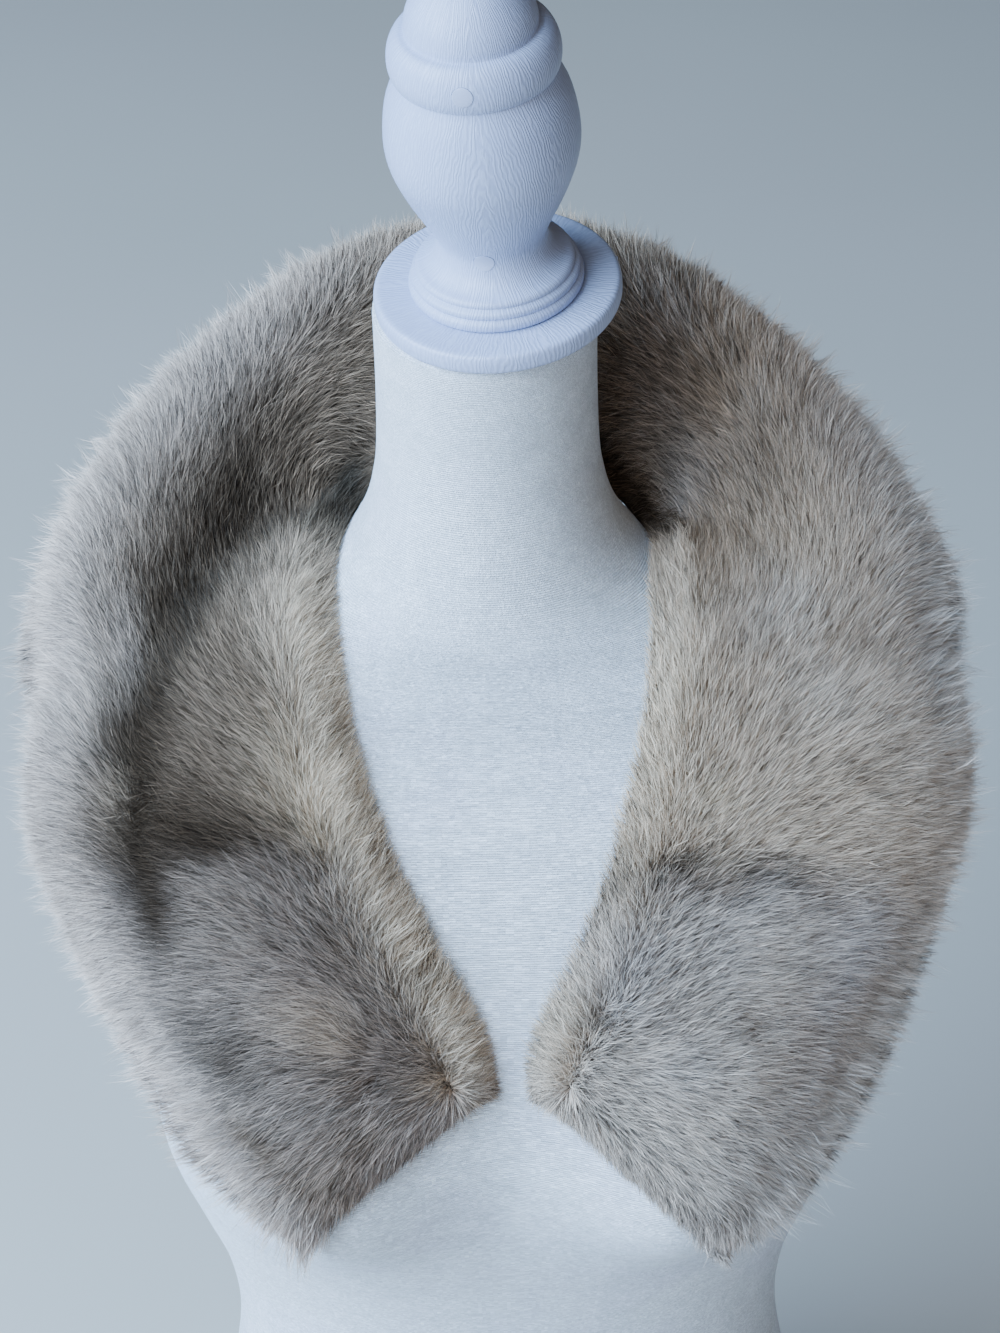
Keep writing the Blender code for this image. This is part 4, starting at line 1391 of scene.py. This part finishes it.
def blades(rng, ground, bends, length, half, rise, turn, lightness, shine):
    """One layer of hairs on its ground."""
    count = len(length)
    lie = ground.lie(turn)
    side = unit(np.cross(ground.out, lie))
    steps = [
        lie * np.cos(angle)[:, None] + ground.out * np.sin(angle)[:, None]
        for angle in rise
    ]
    roll = np.where(
        rng.random(count) < 0.3,
        rng.uniform(-1.5, 1.5, count),
        rng.normal(size=count) * 0.6,
    )[:, None]

    def width(step, share):
        lift = np.cross(step, side)
        return (side * np.cos(roll) + lift * np.sin(roll)) * (half * share)[:, None]

    light = shine[:, None]
    root_light = lightness[0] + PARTING_LIGHT * ground.parting[:, None]
    root_shade = toned(ground.colour * root_light * light)
    tip_shade = toned(ground.colour * lightness[1] * light)
    if not bends:
        tip = ground.root + steps[0] * length[:, None]
        return [(ground.root, width(steps[0], 1.0))], tip, [root_shade, tip_shade]
    middle = ground.root + steps[0] * (length * BEND_AT)[:, None]
    tip = middle + steps[1] * (length * (1 - BEND_AT))[:, None]
    stations = [(ground.root, width(steps[0], 1.0)), (middle, width(steps[1], 0.9))]
    middle_shade = root_shade * 0.55 + tip_shade * 0.45
    return stations, tip, [root_shade, middle_shade, tip_shade]


def make_coat(rng, collar, low, high):
    """The hairs over the whole pelt, in three layers."""
    places, _, grid = collar[:3]
    cells = np.linalg.norm(
        np.cross(np.diff(grid[:, :-1], axis=0)[low:high], np.diff(grid, axis=1)[low:high]),
        axis=2,
    )
    odds = (cells / cells.sum()).ravel()
    layers = []
    for share, bends, length, half, rises, strays, lightness in COAT.values():
        count = int(HAIRS * share / (2 * bends + 1))
        locks = -(-count // LOCK_HAIRS)
        of = np.arange(count) // LOCK_HAIRS
        cell = rng.choice(len(odds), locks, p=odds)
        i = (low + cell // cells.shape[1] + rng.random(locks))[of]
        j = (cell % cells.shape[1] + rng.random(locks))[of]
        side = 1 / (1 + np.exp(-SIDE_TURN * np.interp(i, np.arange(len(places)), places)))
        lock = {what: left + (right - left) * side for what, (left, right) in LOCKS.items()}
        i = i + rng.normal(size=count) * lock["spread"] / ALONG_STEP
        j = j + rng.normal(size=count) * lock["spread"] / ACROSS_STEP
        i = high - np.abs(high - low - np.abs(i - low))
        j = ACROSS - 1 - np.abs(ACROSS - 1 - np.abs(j))
        ground = Ground(collar, i, j)
        edge = np.clip((ground.across - RIM_FROM) / (1 - RIM_FROM), 0, 1)
        run = length * (1 + LENGTHS["stray"] * rng.normal(size=count))
        run *= 1 - LENGTHS["thin"] * (1 - ground.full)
        run *= 1 + uneven(ground.place, "length") + LENGTHS["rim"] * edge
        run *= 1 - LENGTHS["dent"] * np.clip(ground.depth, 0, 5)
        run *= 1 - LENGTHS["nook"] * ground.nook
        stray = lock["own stray"] * rng.normal(size=count)
        stray += lock["lock stray"] * rng.normal(size=locks)[of]
        spread = strays + ground.ruffle + PARTING_STRAY * ground.parting
        turn = ground.turn + np.radians(spread) * stray
        stand = uneven(ground.place, "stand") + STANDS["stray"] * rng.normal(size=count)
        stand += STANDS["parting"] * ground.parting + STANDS["ruffle"] * ground.ruffle
        stand += STANDS["rim"] * edge * (1 - edge**4)
        rise = [np.radians(np.clip(angle + stand, 4, 85)) for angle in rises]
        wide = half * np.exp(WIDTH_STRAY * rng.normal(size=count))
        glow = lock["own glow"] * rng.normal(size=count)
        glow += lock["lock glow"] * rng.normal(size=locks)[of] - lock["dimming"]
        shine = 1 + uneven(ground.place, "light")
        shine *= np.maximum(np.exp(glow), lock["least light"])
        layers.append(blades(rng, ground, bends, run, wide, rise, turn, lightness, shine))
    return layers


def make_tufts(rng, collar, low, high):
    """Locks of longer hair along the edges, each drawn to a point."""
    places, shares, grid = collar[:3]
    ends = [row for row, tip in ((low, -12.0), (high, 12.0)) if places[row] == tip]
    layers = []
    for strip, (near, far, rows, each_metre, length, rises) in TUFTS.items():
        if strip == "tip" and not ends:
            continue
        edge = grid[low : high + 1, 0 if strip == "neck" else -1]
        if strip == "tip":
            edge = grid[ends[0]]
        tufts = int(each_metre * np.linalg.norm(np.diff(edge, axis=0), axis=1).sum() * MM)
        if strip == "tip":
            i = ends[0] + rng.random(tufts) ** 1.5 * rows * (1 if ends[0] == low else -1)
        else:
            i = low + rng.random(tufts) * (high - low)
        depth = rng.random(tufts) ** (0.7 if strip == "rim" else 1.0)
        across = near + depth * (far - near)
        tuft = Ground(collar, i, np.interp(across, shares, np.arange(len(shares))))
        count = tufts * TUFT_HAIRS
        of = np.repeat(np.arange(tufts), TUFT_HAIRS)
        lift = rng.random(tufts) * 0.5 + 0.5 * (across - near) / (far - near)
        rise = np.radians(np.interp(lift, (0, 1), rises))
        turn = tuft.turn + np.radians(TUFT["turn"]) * rng.normal(size=tufts)
        if strip == "neck":
            # Short hair turns in to the neck, so that no light shows under the edge.
            inward = np.exp(-(((tuft.at - INWARD[0]) / INWARD[1]) ** 4))
            way = np.exp(1j * np.radians(INWARD[2]))
            turn = np.angle((1 - inward) * np.exp(1j * turn) + inward * way)
        run = length * (1 + TUFT["run"] * rng.normal(size=tufts))
        run *= 1 - TUFT["nook"] * tuft.nook
        for place, reach, power, share in SHORT_TUFTS:
            run *= 1 - share * np.exp(-(((tuft.at - place) / reach) ** power))
        step = tuft.lie(turn) * np.cos(rise)[:, None] + tuft.out * np.sin(rise)[:, None]
        base = tuft.place - tuft.out * (TUFT["sink"] * PILE * tuft.full)[:, None]
        spread = rng.normal(size=(count, 2)) * TUFT["roots"]
        root = base[of] + tuft.onward[of] * spread[:, :1] + tuft.outward[of] * spread[:, 1:]
        long = (run[of] * (1 - TUFT["short"] * rng.random(count) ** 2))[:, None]
        tip = base[of] + step[of] * long + rng.normal(size=(count, 3)) * TUFT["tips"]
        bow = tuft.out[of] * (TUFT["arch"] * long)
        bow += rng.normal(size=(count, 3)) * TUFT["bow"]
        side = unit(np.cross(unit(tip - root), rng.normal(size=(count, 3))))
        wide = TUFT["half"] * np.exp(TUFT["half stray"] * rng.normal(size=count))[:, None]
        light = (1 + TUFT["tuft light"] * rng.normal(size=tufts))[of]
        light *= np.exp(TUFT["hair light"] * rng.normal(size=count))
        # The tip strip's tufts get painted shade.
        tone = tuft.colour[of] * light[:, None] * (TIP_TUFT_SHADE if strip == "tip" else 1.0)
        shades = [toned(tone * share) for share in TUFT_SHADES]
        stations = [(root, side * wide), ((root + tip) / 2 + bow, side * wide * 0.85)]
        layers.append((stations, tip, shades))
    return layers


def make_fur(name, collar, finish, seed):
    """All the hair of one pelt, the same in each run."""
    rng = np.random.default_rng(seed)
    low, *_, high = pelt_rows(collar[0], name)
    layers = make_coat(rng, collar, low, high) + make_tufts(rng, collar, low, high)
    return hair_mesh(name.replace("collar_", "fur_"), layers, finish)


# ------------------------------------------------------------------ the set
def make_lights():
    for name, (place, target, size, energy, colour) in LIGHTS.items():
        data = bpy.data.lights.new(name, "AREA")
        data.shape, data.size, data.size_y = "RECTANGLE", size[0], size[1]
        data.energy, data.color = energy, colour
        light = bpy.data.objects.new(name, data)
        light.location = place
        way = Vector(target) - Vector(place)
        light.rotation_euler = way.to_track_quat("-Z", "Y").to_euler()
        bpy.context.scene.collection.objects.link(light)
    world = bpy.data.worlds.new("studio")
    world.use_nodes = True
    world.node_tree.nodes["Background"].inputs["Color"].default_value = GLOW_COLOUR
    world.node_tree.nodes["Background"].inputs["Strength"].default_value = GLOW
    bpy.context.scene.world = world


def make_floor():
    pick()
    bpy.ops.mesh.primitive_plane_add(size=FLOOR_SIZE, location=(0, 0, 0))
    floor = bpy.context.object
    floor.name = "floor"
    floor.data.materials.append(floor_finish())


def make_camera():
    pitch, roll = math.radians(CAMERA_PITCH), math.radians(CAMERA_ROLL)
    ahead = Vector((0, math.cos(pitch), -math.sin(pitch)))
    right, up = Vector((1, 0, 0)), Vector((0, math.sin(pitch), math.cos(pitch)))
    turned_right = right * math.cos(roll) - up * math.sin(roll)
    turned_up = right * math.sin(roll) + up * math.cos(roll)
    data = bpy.data.cameras.new("camera")
    data.lens, data.sensor_width = CAMERA_LENS, CAMERA_SENSOR
    camera = bpy.data.objects.new("camera", data)
    turn = Matrix((turned_right, turned_up, -ahead)).transposed().to_4x4()
    camera.matrix_world = Matrix.Translation(CAMERA_AT) @ turn
    bpy.context.scene.collection.objects.link(camera)
    bpy.context.scene.camera = camera


# ------------------------------------------------------------------- making
make_floor()
make_lights()
make_camera()

cover = make_torso_cover(jersey_finish())
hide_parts("form_torso")
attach(cover, "root")

cap = make_neck_cap(plastic_finish("plastic_disc", 60.0, 0.05))
finial = make_finial(plastic_finish("plastic_turning", 0.0, 0.14))
plugs = [make_plug(name, plug_finish()) for name in PLUGS]
for piece, node in zip([cap, finial, *plugs], ["neck_cap", "finial", *PLUGS]):
    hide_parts(node)
    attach(piece, "root")

collar = collar_surfaces()
finishes = (underfur_finish(), leather_finish())
hair = hair_finish()
for number, name in enumerate(PELTS):
    skin = make_skin(name, collar, finishes)
    fur = make_fur(name, collar, hair, 100 + number)
    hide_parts(name)
    for piece in (skin, fur):
        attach(piece, "root")
